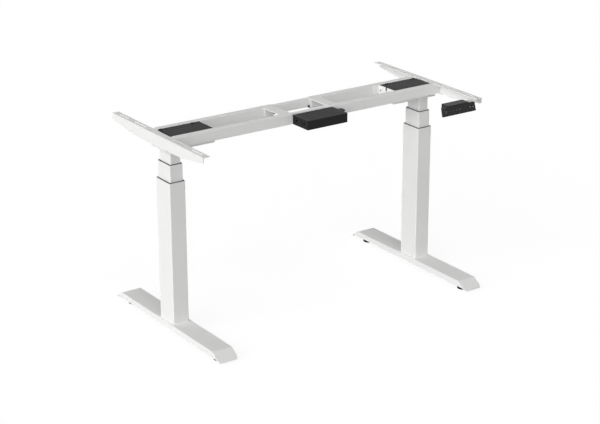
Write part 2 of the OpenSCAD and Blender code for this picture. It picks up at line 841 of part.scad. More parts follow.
module side_bracket(has_hanger_hole) {
  half_l = bracket_l / 2;
  last = len(web_edge_points) - 1;
  color(white) difference() {
    union() {
      translate([half_w - bracket_t, 0, 0]) along_x(bracket_t)
        polygon(concat([for (i = [last:-1:0]) [-web_edge_points[i][0], web_edge_points[i][1]]],
          web_edge_points, [[half_l, beam_top], [-half_l, beam_top]]));
      translate([half_w - flange_w, -half_l, beam_top - bracket_t])
        cube([flange_w, bracket_l, bracket_t]);
      for (s = [-1, 1])
        translate([lug_end_x - lug_l, s * rail_y, lug_z + lug_h / 2])
          along_x(lug_l + weld) difference() {
            round_rect(inner_rail_w, lug_h, inner_rail_r);
            round_rect(inner_rail_w - 2 * lug_wall, lug_h - 2 * lug_wall, inner_rail_r / 2);
          }
    }
    for (s = [-1, 1]) translate([half_w - slot_in, 0, beam_top - bracket_t - overrun]) {
      translate([0, s * outer_slot_y, 0]) slot_cut(outer_slot_l, slot_w, bracket_t + 2 * overrun);
      translate([0, s * inner_slot_y, 0]) slot_cut(inner_slot_l, slot_w, bracket_t + 2 * overrun);
      translate([0, s * hole_y, 0]) cylinder(d = slot_w, h = bracket_t + 2 * overrun);
    }
    for (s = [-1, 1])
      translate([rail_bolt_x, s * rail_y, lug_z - overrun])
        cylinder(d = rail_bolt_d + 2 * thread_gap, h = lug_wall + 2 * overrun);
    if (has_hanger_hole)
      translate([hanger_screw_x, hanger_y, beam_top - bracket_t - overrun])
        cylinder(d = small_screw_d + 2 * thread_gap, h = bracket_t + 2 * overrun);
  }
}

module frame_screws(has_hanger_screw) {
  color(black) {
    cover_screw_places() translate([0, 0, beam_top - cover_drop]) mirror([0, 0, 1])
      screw(cover_screw_d, cover_screw_l, cover_head_d, cover_drop);
    for (s = [-1, 1]) translate([rail_bolt_x, s * rail_y, rail_z])
      screw(rail_bolt_d, rail_wall + slide_gap + lug_wall + rail_bolt_d,
        bolt_head_share * rail_bolt_d, bolt_head_h_share * rail_bolt_d);
    if (has_hanger_screw)
      translate([hanger_screw_x, hanger_y, beam_top - bracket_t - hanger_t])
        screw(small_screw_d, hanger_t + bracket_t, 2 * small_screw_d, small_screw_d / 2);
  }
}

// Control box

module control_box_base() {
  inner_l = control_l - 2 * control_wall;
  inner_w2 = control_w - 2 * control_wall;
  color(black) difference() {
    union() {
      difference() {
        translate([control_x, control_y, control_z])
          round_bar(control_l, control_w, control_h, control_r);
        translate([control_x, control_y, control_z + control_wall])
          round_bar(inner_l, inner_w2, control_h - 2 * control_wall, control_r - control_wall);
        // opening under the lid, and the seat of the lid around it
        translate([control_x, control_y, control_z + control_wall])
          round_bar(control_l - 2 * lid_end_border - 2 * lid_lip,
            control_w - 2 * lid_border - 2 * lid_lip, control_h, control_wall);
        translate([control_x, control_y, control_top - lid_t / 2])
          round_bar(control_l - 2 * lid_end_border, control_w - 2 * lid_border, control_h,
            control_wall);
      }
      // bosses against the inner rail, with their inner ends in the box
      for (x = [-1, 1]) translate([x * control_boss_x, inner_rail_w / 2 - rail_y - inner_rail_w,
          control_screw_z]) rotate([90, 0, 0])
        cylinder(d = control_boss_d, h = beam_w / 2 - rail_y - inner_rail_w / 2 + control_screw_in + 3);
      for (x = [-1, 1], y = [-1, 1])
        translate([control_x + x * (inner_l / 2 - 2 * post_d), control_y + y * (inner_w2 / 2 - 1.5 * post_d),
            control_z + control_wall - weld])
          cylinder(d = post_d, h = board_z - control_z - control_wall + weld);
      // ear at the right end
      translate([control_x1 - weld, ear_y - ear_w / 2, control_top - ear_t])
        cube([ear_l - ear_w / 4 + weld, ear_w, ear_t]);
      translate([control_x1 + ear_l - ear_w / 4, ear_y, control_top - ear_t])
        scale([0.5, 1, 1]) cylinder(d = ear_w, h = ear_t);
    }
    for (x = [-1, 1]) translate([x * control_boss_x, 0, control_screw_z]) rotate([90, 0, 0])
      cylinder(d = small_screw_d + 2 * thread_gap, h = beam_w / 2 + control_screw_in + overrun);
    // cable sockets in recessed panels at the left end
    for (s = [-1, 1]) translate([control_x0 - overrun, control_y + s * socket_pitch / 2, socket_z]) {
      translate([0, -panel_l / 2, -panel_h / 2]) cube([panel_d + overrun, panel_l, panel_h]);
      translate([0, -socket_w / 2, -socket_w / 2]) cube([control_wall + 2 * overrun, socket_w, socket_w]);
    }
    // mains inlet and handset port at the right end
    translate([control_x1 - control_wall - overrun, control_y - socket_pitch / 2, socket_z])
      along_x(control_wall + 2 * overrun) round_rect(inlet_w, inlet_h, inlet_r);
    translate([control_x1 - control_wall - overrun, control_y + socket_pitch / 2 - port_w / 2,
        socket_z - port_w / 2])
      cube([control_wall + 2 * overrun, port_w, port_w]);
    translate([control_x1 + ear_l / 2, ear_y, control_top - ear_t - overrun])
      cylinder(d = small_screw_d + 2 * screw_clear, h = ear_t + 2 * overrun);
  }
}

module control_box_lid() {
  color(black) translate([control_x, control_y, control_top - lid_t / 2]) {
    round_bar(control_l - 2 * lid_end_border - 2 * lid_gap, control_w - 2 * lid_border - 2 * lid_gap,
      lid_t / 2, control_wall - lid_gap);
    translate([0, 0, -lid_t])
      round_tube(control_l - 2 * lid_end_border - 2 * lid_lip - 2 * lid_gap,
        control_w - 2 * lid_border - 2 * lid_lip - 2 * lid_gap, lid_t + weld, lid_t, control_wall);
  }
}

// Board with its sockets, inlet, capacitors, transformer and heat sink
module control_circuit_board() {
  board_l = control_l - 2 * control_wall - 2 * board_gap;
  board_w = control_w - 2 * control_wall - 2 * board_gap;
  part_z = board_z + board_t - weld;
  socket_case = socket_w + 2 * control_wall;
  color(board_green) {
    translate([control_x - board_l / 2, control_y - board_w / 2, board_z])
      cube([board_l, board_w, board_t]);
    for (s = [-1, 1])
      translate([control_x0 + control_wall, control_y + s * socket_pitch / 2, 0]) difference() {
        translate([0, -socket_case / 2, part_z])
          cube([socket_d + control_wall, socket_case, socket_z + socket_case / 2 - part_z]);
        translate([-overrun, -socket_w / 2, socket_z - socket_w / 2])
          cube([socket_d + overrun, socket_w, socket_w]);
      }
    translate([control_x1 - control_wall - inlet_d - control_wall, control_y - socket_pitch / 2, 0]) {
      difference() {
        translate([0, -inlet_w / 2 - control_wall / 2, part_z])
          cube([inlet_d + control_wall, inlet_w + control_wall, control_top - control_wall
            - lid_t - part_z - collar_gap]);
        translate([control_wall, 0, socket_z])
          along_x(inlet_d + overrun) round_rect(inlet_w, inlet_h, inlet_r);
      }
      for (s = [-1, 1]) translate([control_wall - weld, s * pin_pitch / 2, socket_z]) rotate([0, 90, 0])
        cylinder(d = pin_d, h = inlet_d);
    }
    translate([control_x1 - control_wall - socket_d - control_wall, control_y + socket_pitch / 2, 0])
      difference() {
        translate([0, -port_w / 2 - control_wall, part_z])
          cube([socket_d + control_wall, port_w + 2 * control_wall,
            socket_z + port_w / 2 + control_wall - part_z]);
        translate([control_wall, -port_w / 2, socket_z - port_w / 2])
          cube([socket_d + overrun, port_w, port_w]);
      }
    for (i = [0:2])
      translate([control_x - 0.2 * board_l, control_y + (i - 1) * 0.26 * board_w, part_z])
        cylinder(d = 0.18 * board_w, h = 0.5 * control_h);
    translate([control_x - 0.05 * board_l, control_y - 0.35 * board_w, part_z])
      cube([0.2 * board_l, 0.4 * board_w, 0.5 * control_h]);
    translate([control_x + 0.02 * board_l, control_y + 0.22 * board_w, part_z])
      cube([0.24 * board_l, 0.1 * board_w, 0.55 * control_h]);
  }
}

// Handset: its own axes run along the face, into it, and up it

module on_face() {
  translate([handset_x0, handset_y, handset_z]) rotate([-face_tilt, 0, 0]) children();
}

// Wedge of the handset between two depths, with its outline set in by t
module handset_wedge(d0, d1, t) {
  intersection() {
    translate([t, 0, 0]) along_x(handset_l - 2 * t)
      polygon([[d0, t], [min(d1, low_t - t), t], [min(d1, high_t - t), face_h - t], [d0, face_h - t]]);
    translate([0, high_t / 2, 0]) across_y(2 * high_t)
      polygon([[t, 0], [handset_l - t, 0], [handset_l - t - face_taper, face_h],
        [t + face_taper, face_h]]);
  }
}

module key_places(keys, grow) {
  for (i = keys)
    translate([key_xs[i], 0, key_up_z]) across_y(2 * handset_wall + 2 * overrun)
      round_rect(key_w + 2 * grow, key_h + 2 * grow, key_r + grow);
}

module handset_shell() {
  color(black) on_face() difference() {
    union() {
      difference() {
        handset_wedge(0, shell_d, 0);
        handset_wedge(handset_wall, shell_d + overrun, handset_wall);
      }
      for (x = [0.7, 4.5]) translate([key_in + x * key_pitch, handset_board_y, face_h * 0.22])
        rotate([90, 0, 0]) cylinder(d = handset_post_d, h = handset_board_y - handset_wall + weld);
    }
    key_places([0:6], key_gap);
  }
}

module handset_back() {
  middle_x = handset_x0 + handset_l / 2;
  under_z = beam_top - bracket_t;
  color(black) {
    difference() {
      union() {
        on_face() handset_wedge(shell_d, high_t, 0);
        translate([middle_x - block_l / 2, block_y0, beam_top - block_h])
          cube([block_l, block_d - block_lip, block_h]);
      }
      on_face() handset_wedge(shell_d - overrun, high_t, handset_wall);
      translate([middle_x - block_l / 2 + handset_wall, block_y0 + high_t, beam_top - block_h - overrun])
        cube([block_l - 2 * handset_wall, block_d - block_lip - high_t - handset_wall,
          block_h - handset_wall + overrun]);
    }
    translate([middle_x - block_l / 2, block_y0 - block_lip, under_z + collar_gap])
      cube([block_l, block_lip + weld, bracket_t - collar_gap]);
    // ear that reaches under the flange of the side bracket
    difference() {
      union() {
        translate([hanger_x1 - flange_w, hanger_y - hanger_d / 2, under_z - hanger_t])
          cube([flange_w, hanger_d, hanger_t]);
        translate([middle_x + block_l / 2 - weld, hanger_y - hanger_d / 2, under_z - hanger_t])
          cube([hanger_x1 - middle_x - block_l / 2, hanger_d, hanger_t]);
      }
      translate([hanger_screw_x, hanger_y, under_z - hanger_t - overrun])
        cylinder(d = small_screw_d + screw_clear, h = hanger_t + 2 * overrun);
    }
  }
}

module handset_circuit_board() {
  inset = handset_wall + handset_board_in;
  color(board_green) on_face()
    translate([inset, handset_board_y, inset])
      cube([handset_l - 2 * inset, handset_board_t, face_h - 2 * inset]);
}

// i counts the keys from the left
module key(i) {
  color(dark_plastic) on_face() translate([key_xs[i], 0, key_up_z]) {
    translate([0, (handset_wall + key_gap - key_proud) / 2, 0])
      across_y(handset_wall + key_gap + key_proud) round_rect(key_w, key_h, key_r);
    translate([0, handset_wall + key_gap + key_flange_t / 2, 0])
      across_y(key_flange_t) round_rect(key_w + 2 * key_flange, key_h + 2 * key_flange, key_r);
  }
}

left() foot();  // left_foot
left() outer_tube();  // left_outer_tube
left() outer_collar();  // left_outer_collar
left() fixed_screw();  // left_fixed_screw
left() column_bolts();  // left_column_bolts
left() levelling_foot(-1);  // left_front_levelling_foot
left() levelling_foot(1);  // left_rear_levelling_foot
left() middle_tube();  // left_middle_tube
left() middle_glides();  // left_middle_glides
left() hollow_screw();  // left_hollow_screw
left() inner_tube();  // left_inner_tube
left() inner_nut_block();  // left_inner_nut_block
left() drive_shaft();  // left_drive_shaft
left() gearbox();  // left_gearbox
left() motor();  // left_motor
left() motor_housing();  // left_motor_housing
left() motor_cover();  // left_motor_cover
left() frame_screws(false);  // left_frame_screws
left() side_bracket(false);  // left_side_bracket
left() outer_rail(-1);  // left_front_rail
left() outer_rail(1);  // left_rear_rail
left() cross_plate();  // left_cross_plate
foot();  // right_foot
outer_tube();  // right_outer_tube
outer_collar();  // right_outer_collar
fixed_screw();  // right_fixed_screw
column_bolts();  // right_column_bolts
levelling_foot(-1);  // right_front_levelling_foot
levelling_foot(1);  // right_rear_levelling_foot
middle_tube();  // right_middle_tube
middle_glides();  // right_middle_glides
hollow_screw();  // right_hollow_screw
inner_tube();  // right_inner_tube
inner_nut_block();  // right_inner_nut_block
drive_shaft();  // right_drive_shaft
gearbox();  // right_gearbox
motor();  // right_motor
motor_housing();  // right_motor_housing
motor_cover();  // right_motor_cover
frame_screws(true);  // right_frame_screws
side_bracket(true);  // right_side_bracket
outer_rail(-1);  // right_front_rail
outer_rail(1);  // right_rear_rail
cross_plate();  // right_cross_plate
inner_rail(-1);  // front_inner_rail
inner_rail(1);  // rear_inner_rail
centre_screws();
control_box_base();
control_box_lid();
control_circuit_board();
handset_shell();
handset_back();
handset_circuit_board();
key(0);  // key_memory
key(1);  // key_1
key(2);  // key_2
key(3);  // key_3
key(4);  // key_4
key(5);  // key_down
key(6);  // key_up
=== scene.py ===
import json
import math

import bmesh
import bpy
from mathutils import Matrix, Vector

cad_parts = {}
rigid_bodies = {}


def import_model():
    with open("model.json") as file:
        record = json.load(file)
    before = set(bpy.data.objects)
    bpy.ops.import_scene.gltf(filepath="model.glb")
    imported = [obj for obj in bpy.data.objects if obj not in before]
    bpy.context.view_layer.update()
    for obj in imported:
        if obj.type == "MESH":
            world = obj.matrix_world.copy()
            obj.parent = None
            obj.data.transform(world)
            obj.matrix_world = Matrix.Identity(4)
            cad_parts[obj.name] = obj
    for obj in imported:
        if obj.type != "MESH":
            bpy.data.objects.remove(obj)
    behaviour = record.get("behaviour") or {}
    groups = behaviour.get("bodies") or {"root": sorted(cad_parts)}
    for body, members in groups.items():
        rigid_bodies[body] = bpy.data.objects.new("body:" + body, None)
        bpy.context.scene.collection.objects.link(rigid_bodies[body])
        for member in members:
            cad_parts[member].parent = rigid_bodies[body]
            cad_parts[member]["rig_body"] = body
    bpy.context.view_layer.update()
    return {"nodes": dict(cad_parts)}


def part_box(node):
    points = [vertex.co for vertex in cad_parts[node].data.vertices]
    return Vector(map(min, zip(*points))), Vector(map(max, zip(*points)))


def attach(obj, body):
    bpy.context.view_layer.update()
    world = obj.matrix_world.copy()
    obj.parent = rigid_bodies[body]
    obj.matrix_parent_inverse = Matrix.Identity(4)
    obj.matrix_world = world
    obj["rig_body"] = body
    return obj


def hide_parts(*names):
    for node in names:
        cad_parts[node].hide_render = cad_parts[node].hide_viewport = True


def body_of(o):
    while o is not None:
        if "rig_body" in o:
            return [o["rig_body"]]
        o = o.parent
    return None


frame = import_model()
nodes = frame["nodes"]
sides = ("left", "right")
mm = 0.001
print("frame loaded")


# Camera, floor and studio light

shot = {
    "azimuth": -34.7615,
    "elevation": 20.4533,
    "roll": -0.0987,
    "distance": 6.03195,
    "target": (0.0002, -0.0006, 0.32522),
    "lens": 100.398,
    "sensor": 36,
    "farEnd": 100,
}


def makeCamera():
    az = math.radians(shot["azimuth"])
    el = math.radians(shot["elevation"])
    roll = math.radians(shot["roll"])
    back = Vector((math.sin(az) * math.cos(el), -math.cos(az) * math.cos(el), math.sin(el)))
    right = Vector((0, 0, 1)).cross(back).normalized()
    up = back.cross(right)
    turnedRight = math.cos(roll) * right + math.sin(roll) * up
    turnedUp = math.cos(roll) * up - math.sin(roll) * right
    data = bpy.data.cameras.new("photoCamera")
    data.lens = shot["lens"]
    data.sensor_width = shot["sensor"]
    data.clip_end = shot["farEnd"]
    cam = bpy.data.objects.new("photoCamera", data)
    bpy.context.scene.collection.objects.link(cam)
    place = Matrix((turnedRight, turnedUp, back)).transposed().to_4x4()
    place.translation = Vector(shot["target"]) + back * shot["distance"]
    cam.matrix_world = place
    bpy.context.scene.camera = cam


# Each lamp shines from this direction, as wide in degrees as its softbox looks from the frame
lamps = {
    "left": {"from": (-1.0, -0.25, 0.45), "width": 60, "power": 2.55},
    "front": {"from": (-0.3, -1.0, 0.3), "width": 40, "power": 0.4},
    "frontHigh": {"from": (-0.3, -1.0, 1.5), "width": 20, "power": 0.33},
    "top": {"from": (0.0, 0.1, 1.0), "width": 60, "power": 0.02},
}


def makeLamp(name, spec):
    data = bpy.data.lights.new(name, "SUN")
    data.energy = spec["power"]
    data.angle = math.radians(spec["width"])
    lamp = bpy.data.objects.new(name, data)
    lamp.rotation_euler = Vector(spec["from"]).to_track_quat("Z", "Y").to_euler()
    bpy.context.scene.collection.objects.link(lamp)


studio = {
    "ambient": 0.15,
    "mirrored": 1.0,
    "floorHalf": 20.0,
    "floorGlow": 0.9,
    "floorShown": 0.16,
    "floorBounce": 0.7,
}


def add(tree, kind, **values):
    node = tree.nodes.new(kind)
    for key, value in values.items():
        setattr(node, key, value)
    return node


def makeWorld():
    world = bpy.data.worlds.new("studio")
    bpy.context.scene.world = world
    world.use_nodes = True
    tree = world.node_tree
    tree.nodes.clear()
    out = add(tree, "ShaderNodeOutputWorld")
    sky = add(tree, "ShaderNodeBackground")
    sky.inputs["Color"].default_value = (1, 1, 1, 1)
    path = add(tree, "ShaderNodeLightPath")
    mirrored = add(tree, "ShaderNodeMath", operation="MAXIMUM")
    tree.links.new(path.outputs["Is Glossy Ray"], mirrored.inputs[0])
    tree.links.new(path.outputs["Is Transmission Ray"], mirrored.inputs[1])
    softLevel = add(tree, "ShaderNodeMapRange")
    softLevel.inputs["To Min"].default_value = studio["ambient"]
    softLevel.inputs["To Max"].default_value = studio["mirrored"]
    tree.links.new(mirrored.outputs[0], softLevel.inputs["Value"])
    level = add(tree, "ShaderNodeMath", operation="MAXIMUM")
    tree.links.new(softLevel.outputs["Result"], level.inputs[0])
    tree.links.new(path.outputs["Is Camera Ray"], level.inputs[1])
    tree.links.new(level.outputs[0], sky.inputs["Strength"])
    tree.links.new(sky.outputs["Background"], out.inputs["Surface"])


def makeFloor():
    half = studio["floorHalf"]
    corners = [(-half, -half, 0), (half, -half, 0), (half, half, 0), (-half, half, 0)]
    mesh = bpy.data.meshes.new("floor")
    mesh.from_pydata(corners, [], [(0, 1, 2, 3)])
    floor = bpy.data.objects.new("floor", mesh)
    bpy.context.scene.collection.objects.link(floor)
    mat = bpy.data.materials.new("floorPaint")
    mat.use_nodes = True
    tree = mat.node_tree
    tree.nodes.clear()
    out = add(tree, "ShaderNodeOutputMaterial")
    path = add(tree, "ShaderNodeLightPath")
    seen = add(tree, "ShaderNodeMath", operation="MAXIMUM")
    tree.links.new(path.outputs["Is Camera Ray"], seen.inputs[0])
    tree.links.new(path.outputs["Is Glossy Ray"], seen.inputs[1])
    glow = add(tree, "ShaderNodeEmission")
    glow.inputs["Strength"].default_value = studio["floorGlow"]
    shown = add(tree, "ShaderNodeBsdfDiffuse")
    shown.inputs["Color"].default_value = (studio["floorShown"],) * 3 + (1,)
    both = add(tree, "ShaderNodeAddShader")
    tree.links.new(glow.outputs[0], both.inputs[0])
    tree.links.new(shown.outputs[0], both.inputs[1])
    bounce = add(tree, "ShaderNodeBsdfDiffuse")
    bounce.inputs["Color"].default_value = (studio["floorBounce"],) * 3 + (1,)
    pick = add(tree, "ShaderNodeMixShader")
    tree.links.new(seen.outputs[0], pick.inputs["Fac"])
    tree.links.new(bounce.outputs[0], pick.inputs[1])
    tree.links.new(both.outputs[0], pick.inputs[2])
    # seen from below the floor is clear
    under = add(tree, "ShaderNodeNewGeometry")
    clear = add(tree, "ShaderNodeBsdfTransparent")
    facing = add(tree, "ShaderNodeMixShader")
    tree.links.new(under.outputs["Backfacing"], facing.inputs["Fac"])
    tree.links.new(pick.outputs[0], facing.inputs[1])
    tree.links.new(clear.outputs[0], facing.inputs[2])
    tree.links.new(facing.outputs[0], out.inputs["Surface"])
    mesh.materials.append(mat)


bpy.context.scene.view_settings.view_transform = "Standard"
makeCamera()
makeWorld()
makeFloor()
for lampName, lampSpec in lamps.items():
    makeLamp(lampName, lampSpec)
print("studio ready")


# Shader node groups shared by several materials

def newGroup(name, inputs, outputs):
    tree = bpy.data.node_groups.new(name, "ShaderNodeTree")
    for label, kind, value in inputs:
        socket = tree.interface.new_socket(label, in_out="INPUT", socket_type=kind)
        socket.default_value = value
    for label, kind in outputs:
        tree.interface.new_socket(label, in_out="OUTPUT", socket_type=kind)
    return tree, tree.nodes.new("NodeGroupInput"), tree.nodes.new("NodeGroupOutput")


def spreadAround(tree, wave, spread, base):
    centred = add(tree, "ShaderNodeMath", operation="SUBTRACT")
    centred.inputs[1].default_value = 0.5
    tree.links.new(wave, centred.inputs[0])
    varied = add(tree, "ShaderNodeMath", operation="MULTIPLY_ADD")
    tree.links.new(centred.outputs[0], varied.inputs[0])
    tree.links.new(spread, varied.inputs[1])
    if base is None:
        varied.inputs[2].default_value = 1.0
    else:
        tree.links.new(base, varied.inputs[2])
    return varied.outputs[0]


relief = {
    "fineDetail": 3,
    "cloudScale": 9,
    "cloudDetail": 4,
    "coatHeight": 0.2,
    "lineHeight": 0.1,
}


# Fine relief, tone and roughness of a coated or moulded surface
def makeSurfaceGroup():
    tree, start, end = newGroup(
        "fineSurface",
        [
            ("Grain", "NodeSocketFloat", 900.0),
            ("Depth", "NodeSocketFloat", 0.2),
            ("Rough", "NodeSocketFloat", 0.45),
            ("Rough Spread", "NodeSocketFloat", 0.06),
            ("Tone Spread", "NodeSocketFloat", 0.02),
        ],
        [("Normal", "NodeSocketVector"), ("Rough", "NodeSocketFloat"), ("Tone", "NodeSocketFloat")],
    )
    coords = add(tree, "ShaderNodeTexCoord")
    fine = add(tree, "ShaderNodeTexNoise")
    fine.inputs["Detail"].default_value = relief["fineDetail"]
    tree.links.new(coords.outputs["Object"], fine.inputs["Vector"])
    tree.links.new(start.outputs["Grain"], fine.inputs["Scale"])
    cloud = add(tree, "ShaderNodeTexNoise")
    cloud.inputs["Scale"].default_value = relief["cloudScale"]
    cloud.inputs["Detail"].default_value = relief["cloudDetail"]
    tree.links.new(coords.outputs["Object"], cloud.inputs["Vector"])
    bump = add(tree, "ShaderNodeBump")
    bump.inputs["Distance"].default_value = relief["coatHeight"] * mm
    tree.links.new(start.outputs["Depth"], bump.inputs["Strength"])
    tree.links.new(fine.outputs["Fac"], bump.inputs["Height"])
    tree.links.new(bump.outputs["Normal"], end.inputs["Normal"])
    rough = spreadAround(tree, cloud.outputs["Fac"], start.outputs["Rough Spread"], start.outputs["Rough"])
    tone = spreadAround(tree, cloud.outputs["Fac"], start.outputs["Tone Spread"], None)
    tree.links.new(rough, end.inputs["Rough"])
    tree.links.new(tone, end.inputs["Tone"])
    return tree


# Fine lines of drawn, turned or brushed metal
def makeDrawnGroup():
    tree, start, end = newGroup(
        "drawnLines",
        [
            ("Stretch", "NodeSocketVector", (1, 1, 1)),
            ("Depth", "NodeSocketFloat", 0.1),
            ("Rough", "NodeSocketFloat", 0.3),
            ("Rough Spread", "NodeSocketFloat", 0.2),
            ("Tone Spread", "NodeSocketFloat", 0.25),
        ],
        [("Normal", "NodeSocketVector"), ("Rough", "NodeSocketFloat"), ("Tone", "NodeSocketFloat")],
    )
    coords = add(tree, "ShaderNodeTexCoord")
    scaled = add(tree, "ShaderNodeVectorMath", operation="MULTIPLY")
    tree.links.new(coords.outputs["Object"], scaled.inputs[0])
    tree.links.new(start.outputs["Stretch"], scaled.inputs[1])
    lines = add(tree, "ShaderNodeTexNoise")
    lines.inputs["Scale"].default_value = 1
    lines.inputs["Detail"].default_value = relief["fineDetail"]
    tree.links.new(scaled.outputs["Vector"], lines.inputs["Vector"])
    bump = add(tree, "ShaderNodeBump")
    bump.inputs["Distance"].default_value = relief["lineHeight"] * mm
    tree.links.new(start.outputs["Depth"], bump.inputs["Strength"])
    tree.links.new(lines.outputs["Fac"], bump.inputs["Height"])
    tree.links.new(bump.outputs["Normal"], end.inputs["Normal"])
    rough = spreadAround(tree, lines.outputs["Fac"], start.outputs["Rough Spread"], start.outputs["Rough"])
    tone = spreadAround(tree, lines.outputs["Fac"], start.outputs["Tone Spread"], None)
    tree.links.new(rough, end.inputs["Rough"])
    tree.links.new(tone, end.inputs["Tone"])
    return tree


groups = {"surface": makeSurfaceGroup(), "drawn": makeDrawnGroup()}


def makeMaterial(name, spec):
    mat = bpy.data.materials.new(name)
    mat.use_nodes = True
    tree = mat.node_tree
    tree.nodes.clear()
    out = add(tree, "ShaderNodeOutputMaterial")
    bsdf = add(tree, "ShaderNodeBsdfPrincipled")
    look = add(tree, "ShaderNodeGroup", node_tree=groups[spec["group"]])
    for key, value in spec["look"].items():
        look.inputs[key].default_value = value
    tint = add(tree, "ShaderNodeVectorMath", operation="SCALE")
    tint.inputs[0].default_value = spec["color"]
    tree.links.new(look.outputs["Tone"], tint.inputs["Scale"])
    tree.links.new(tint.outputs["Vector"], bsdf.inputs["Base Color"])
    tree.links.new(look.outputs["Rough"], bsdf.inputs["Roughness"])
    tree.links.new(look.outputs["Normal"], bsdf.inputs["Normal"])
    for key, value in spec.get("shader", {}).items():
        bsdf.inputs[key].default_value = value
    tree.links.new(bsdf.outputs[0], out.inputs["Surface"])
    return mat


materialSpecs = {
    "whiteCoat": {
        "group": "surface", "color": (0.86, 0.86, 0.85), "shader": {"Specular IOR Level": 0.3},
        "look": {"Grain": 1400, "Depth": 0.12, "Rough": 0.5, "Rough Spread": 0.08, "Tone Spread": 0.02}},
    "blackCoat": {
        "group": "surface", "color": (0.016, 0.016, 0.016), "shader": {"Specular IOR Level": 0.08},
        "look": {"Grain": 1400, "Depth": 0.25, "Rough": 0.5, "Rough Spread": 0.1, "Tone Spread": 0.1}},
    "blackPlastic": {
        "group": "surface", "color": (0.014, 0.014, 0.0142), "shader": {"Specular IOR Level": 0.12},
        "look": {"Grain": 1900, "Depth": 0.45, "Rough": 0.5, "Rough Spread": 0.12, "Tone Spread": 0.15}},
    "lidPlastic": {
        "group": "surface", "color": (0.014, 0.014, 0.0142), "shader": {"Specular IOR Level": 0.11},
        "look": {"Grain": 2300, "Depth": 0.5, "Rough": 0.55, "Rough Spread": 0.12, "Tone Spread": 0.15}},
    "handsetPlastic": {
        "group": "surface", "color": (0.022, 0.022, 0.0222), "shader": {"Specular IOR Level": 0.18},
        "look": {"Grain": 2300, "Depth": 0.4, "Rough": 0.5, "Rough Spread": 0.12, "Tone Spread": 0.15}},
    "socketPlastic": {
        "group": "surface", "color": (0.003, 0.003, 0.003), "shader": {"Specular IOR Level": 0.05},
        "look": {"Grain": 1900, "Depth": 0.2, "Rough": 0.6, "Rough Spread": 0.1, "Tone Spread": 0.2}},
    "greyPlastic": {
        "group": "surface", "color": (0.05, 0.05, 0.05), "shader": {"Specular IOR Level": 0.3},
        "look": {"Grain": 1600, "Depth": 0.3, "Rough": 0.55, "Rough Spread": 0.1, "Tone Spread": 0.15}},
    "keyPlastic": {
        "group": "surface", "color": (0.022, 0.022, 0.0222), "shader": {"Specular IOR Level": 0.2},
        "look": {"Grain": 2600, "Depth": 0.2, "Rough": 0.45, "Rough Spread": 0.1, "Tone Spread": 0.1}},
    "padRubber": {
        "group": "surface", "color": (0.008, 0.008, 0.008), "shader": {"Specular IOR Level": 0.06},
        "look": {"Grain": 1300, "Depth": 0.5, "Rough": 0.65, "Rough Spread": 0.15, "Tone Spread": 0.2}},
    "castAluminium": {
        "group": "surface", "color": (0.5, 0.5, 0.51), "shader": {"Metallic": 1.0},
        "look": {"Grain": 700, "Depth": 0.6, "Rough": 0.42, "Rough Spread": 0.15, "Tone Spread": 0.15}},
    "motorPaint": {
        "group": "surface", "color": (0.03, 0.03, 0.033),
        "look": {"Grain": 1200, "Depth": 0.2, "Rough": 0.38, "Rough Spread": 0.1, "Tone Spread": 0.1}},
    "boardGreen": {
        "group": "surface", "color": (0.02, 0.13, 0.055),
        "look": {"Grain": 1500, "Depth": 0.2, "Rough": 0.35, "Rough Spread": 0.1, "Tone Spread": 0.3}},
    "coilTape": {
        "group": "surface", "color": (0.55, 0.4, 0.08),
        "look": {"Grain": 1500, "Depth": 0.1, "Rough": 0.4, "Rough Spread": 0.1, "Tone Spread": 0.2}},
    "canSleeve": {
        "group": "surface", "color": (0.02, 0.03, 0.09),
        "look": {"Grain": 900, "Depth": 0.1, "Rough": 0.3, "Rough Spread": 0.1, "Tone Spread": 0.2}},
    "drawnSteel": {
        "group": "drawn", "color": (0.56, 0.56, 0.57), "shader": {"Metallic": 1.0},
        "look": {"Stretch": (2500, 2500, 60), "Depth": 0.25, "Rough": 0.3, "Rough Spread": 0.25}},
    "zincSteel": {
        "group": "drawn", "color": (0.5, 0.5, 0.49), "shader": {"Metallic": 1.0},
        "look": {"Stretch": (700, 700, 700), "Depth": 0.15, "Rough": 0.36, "Rough Spread": 0.2}},
    "turnedBrass": {
        "group": "drawn", "color": (0.66, 0.47, 0.2), "shader": {"Metallic": 1.0},
        "look": {"Stretch": (60, 60, 2500), "Depth": 0.2, "Rough": 0.28, "Rough Spread": 0.2}},
    "blackScrew": {
        "group": "drawn", "color": (0.003, 0.003, 0.003), "shader": {"Specular IOR Level": 0.04},
        "look": {"Stretch": (900, 900, 900), "Depth": 0.15, "Rough": 0.4, "Rough Spread": 0.2}},
    "legendInk": {
        "group": "surface", "color": (0.55, 0.56, 0.57),
        "look": {"Grain": 2600, "Depth": 0.05, "Rough": 0.5, "Rough Spread": 0.05, "Tone Spread": 0.05}},
    "displayGloss": {
        "group": "surface", "color": (0.01, 0.01, 0.011), "shader": {"Specular IOR Level": 0.3},
        "look": {"Grain": 800, "Depth": 0.01, "Rough": 0.14, "Rough Spread": 0.04, "Tone Spread": 0.05}},
}
mats = {matName: makeMaterial(matName, matSpec) for matName, matSpec in materialSpecs.items()}
print("materials ready")


# Carried nodes: a material each

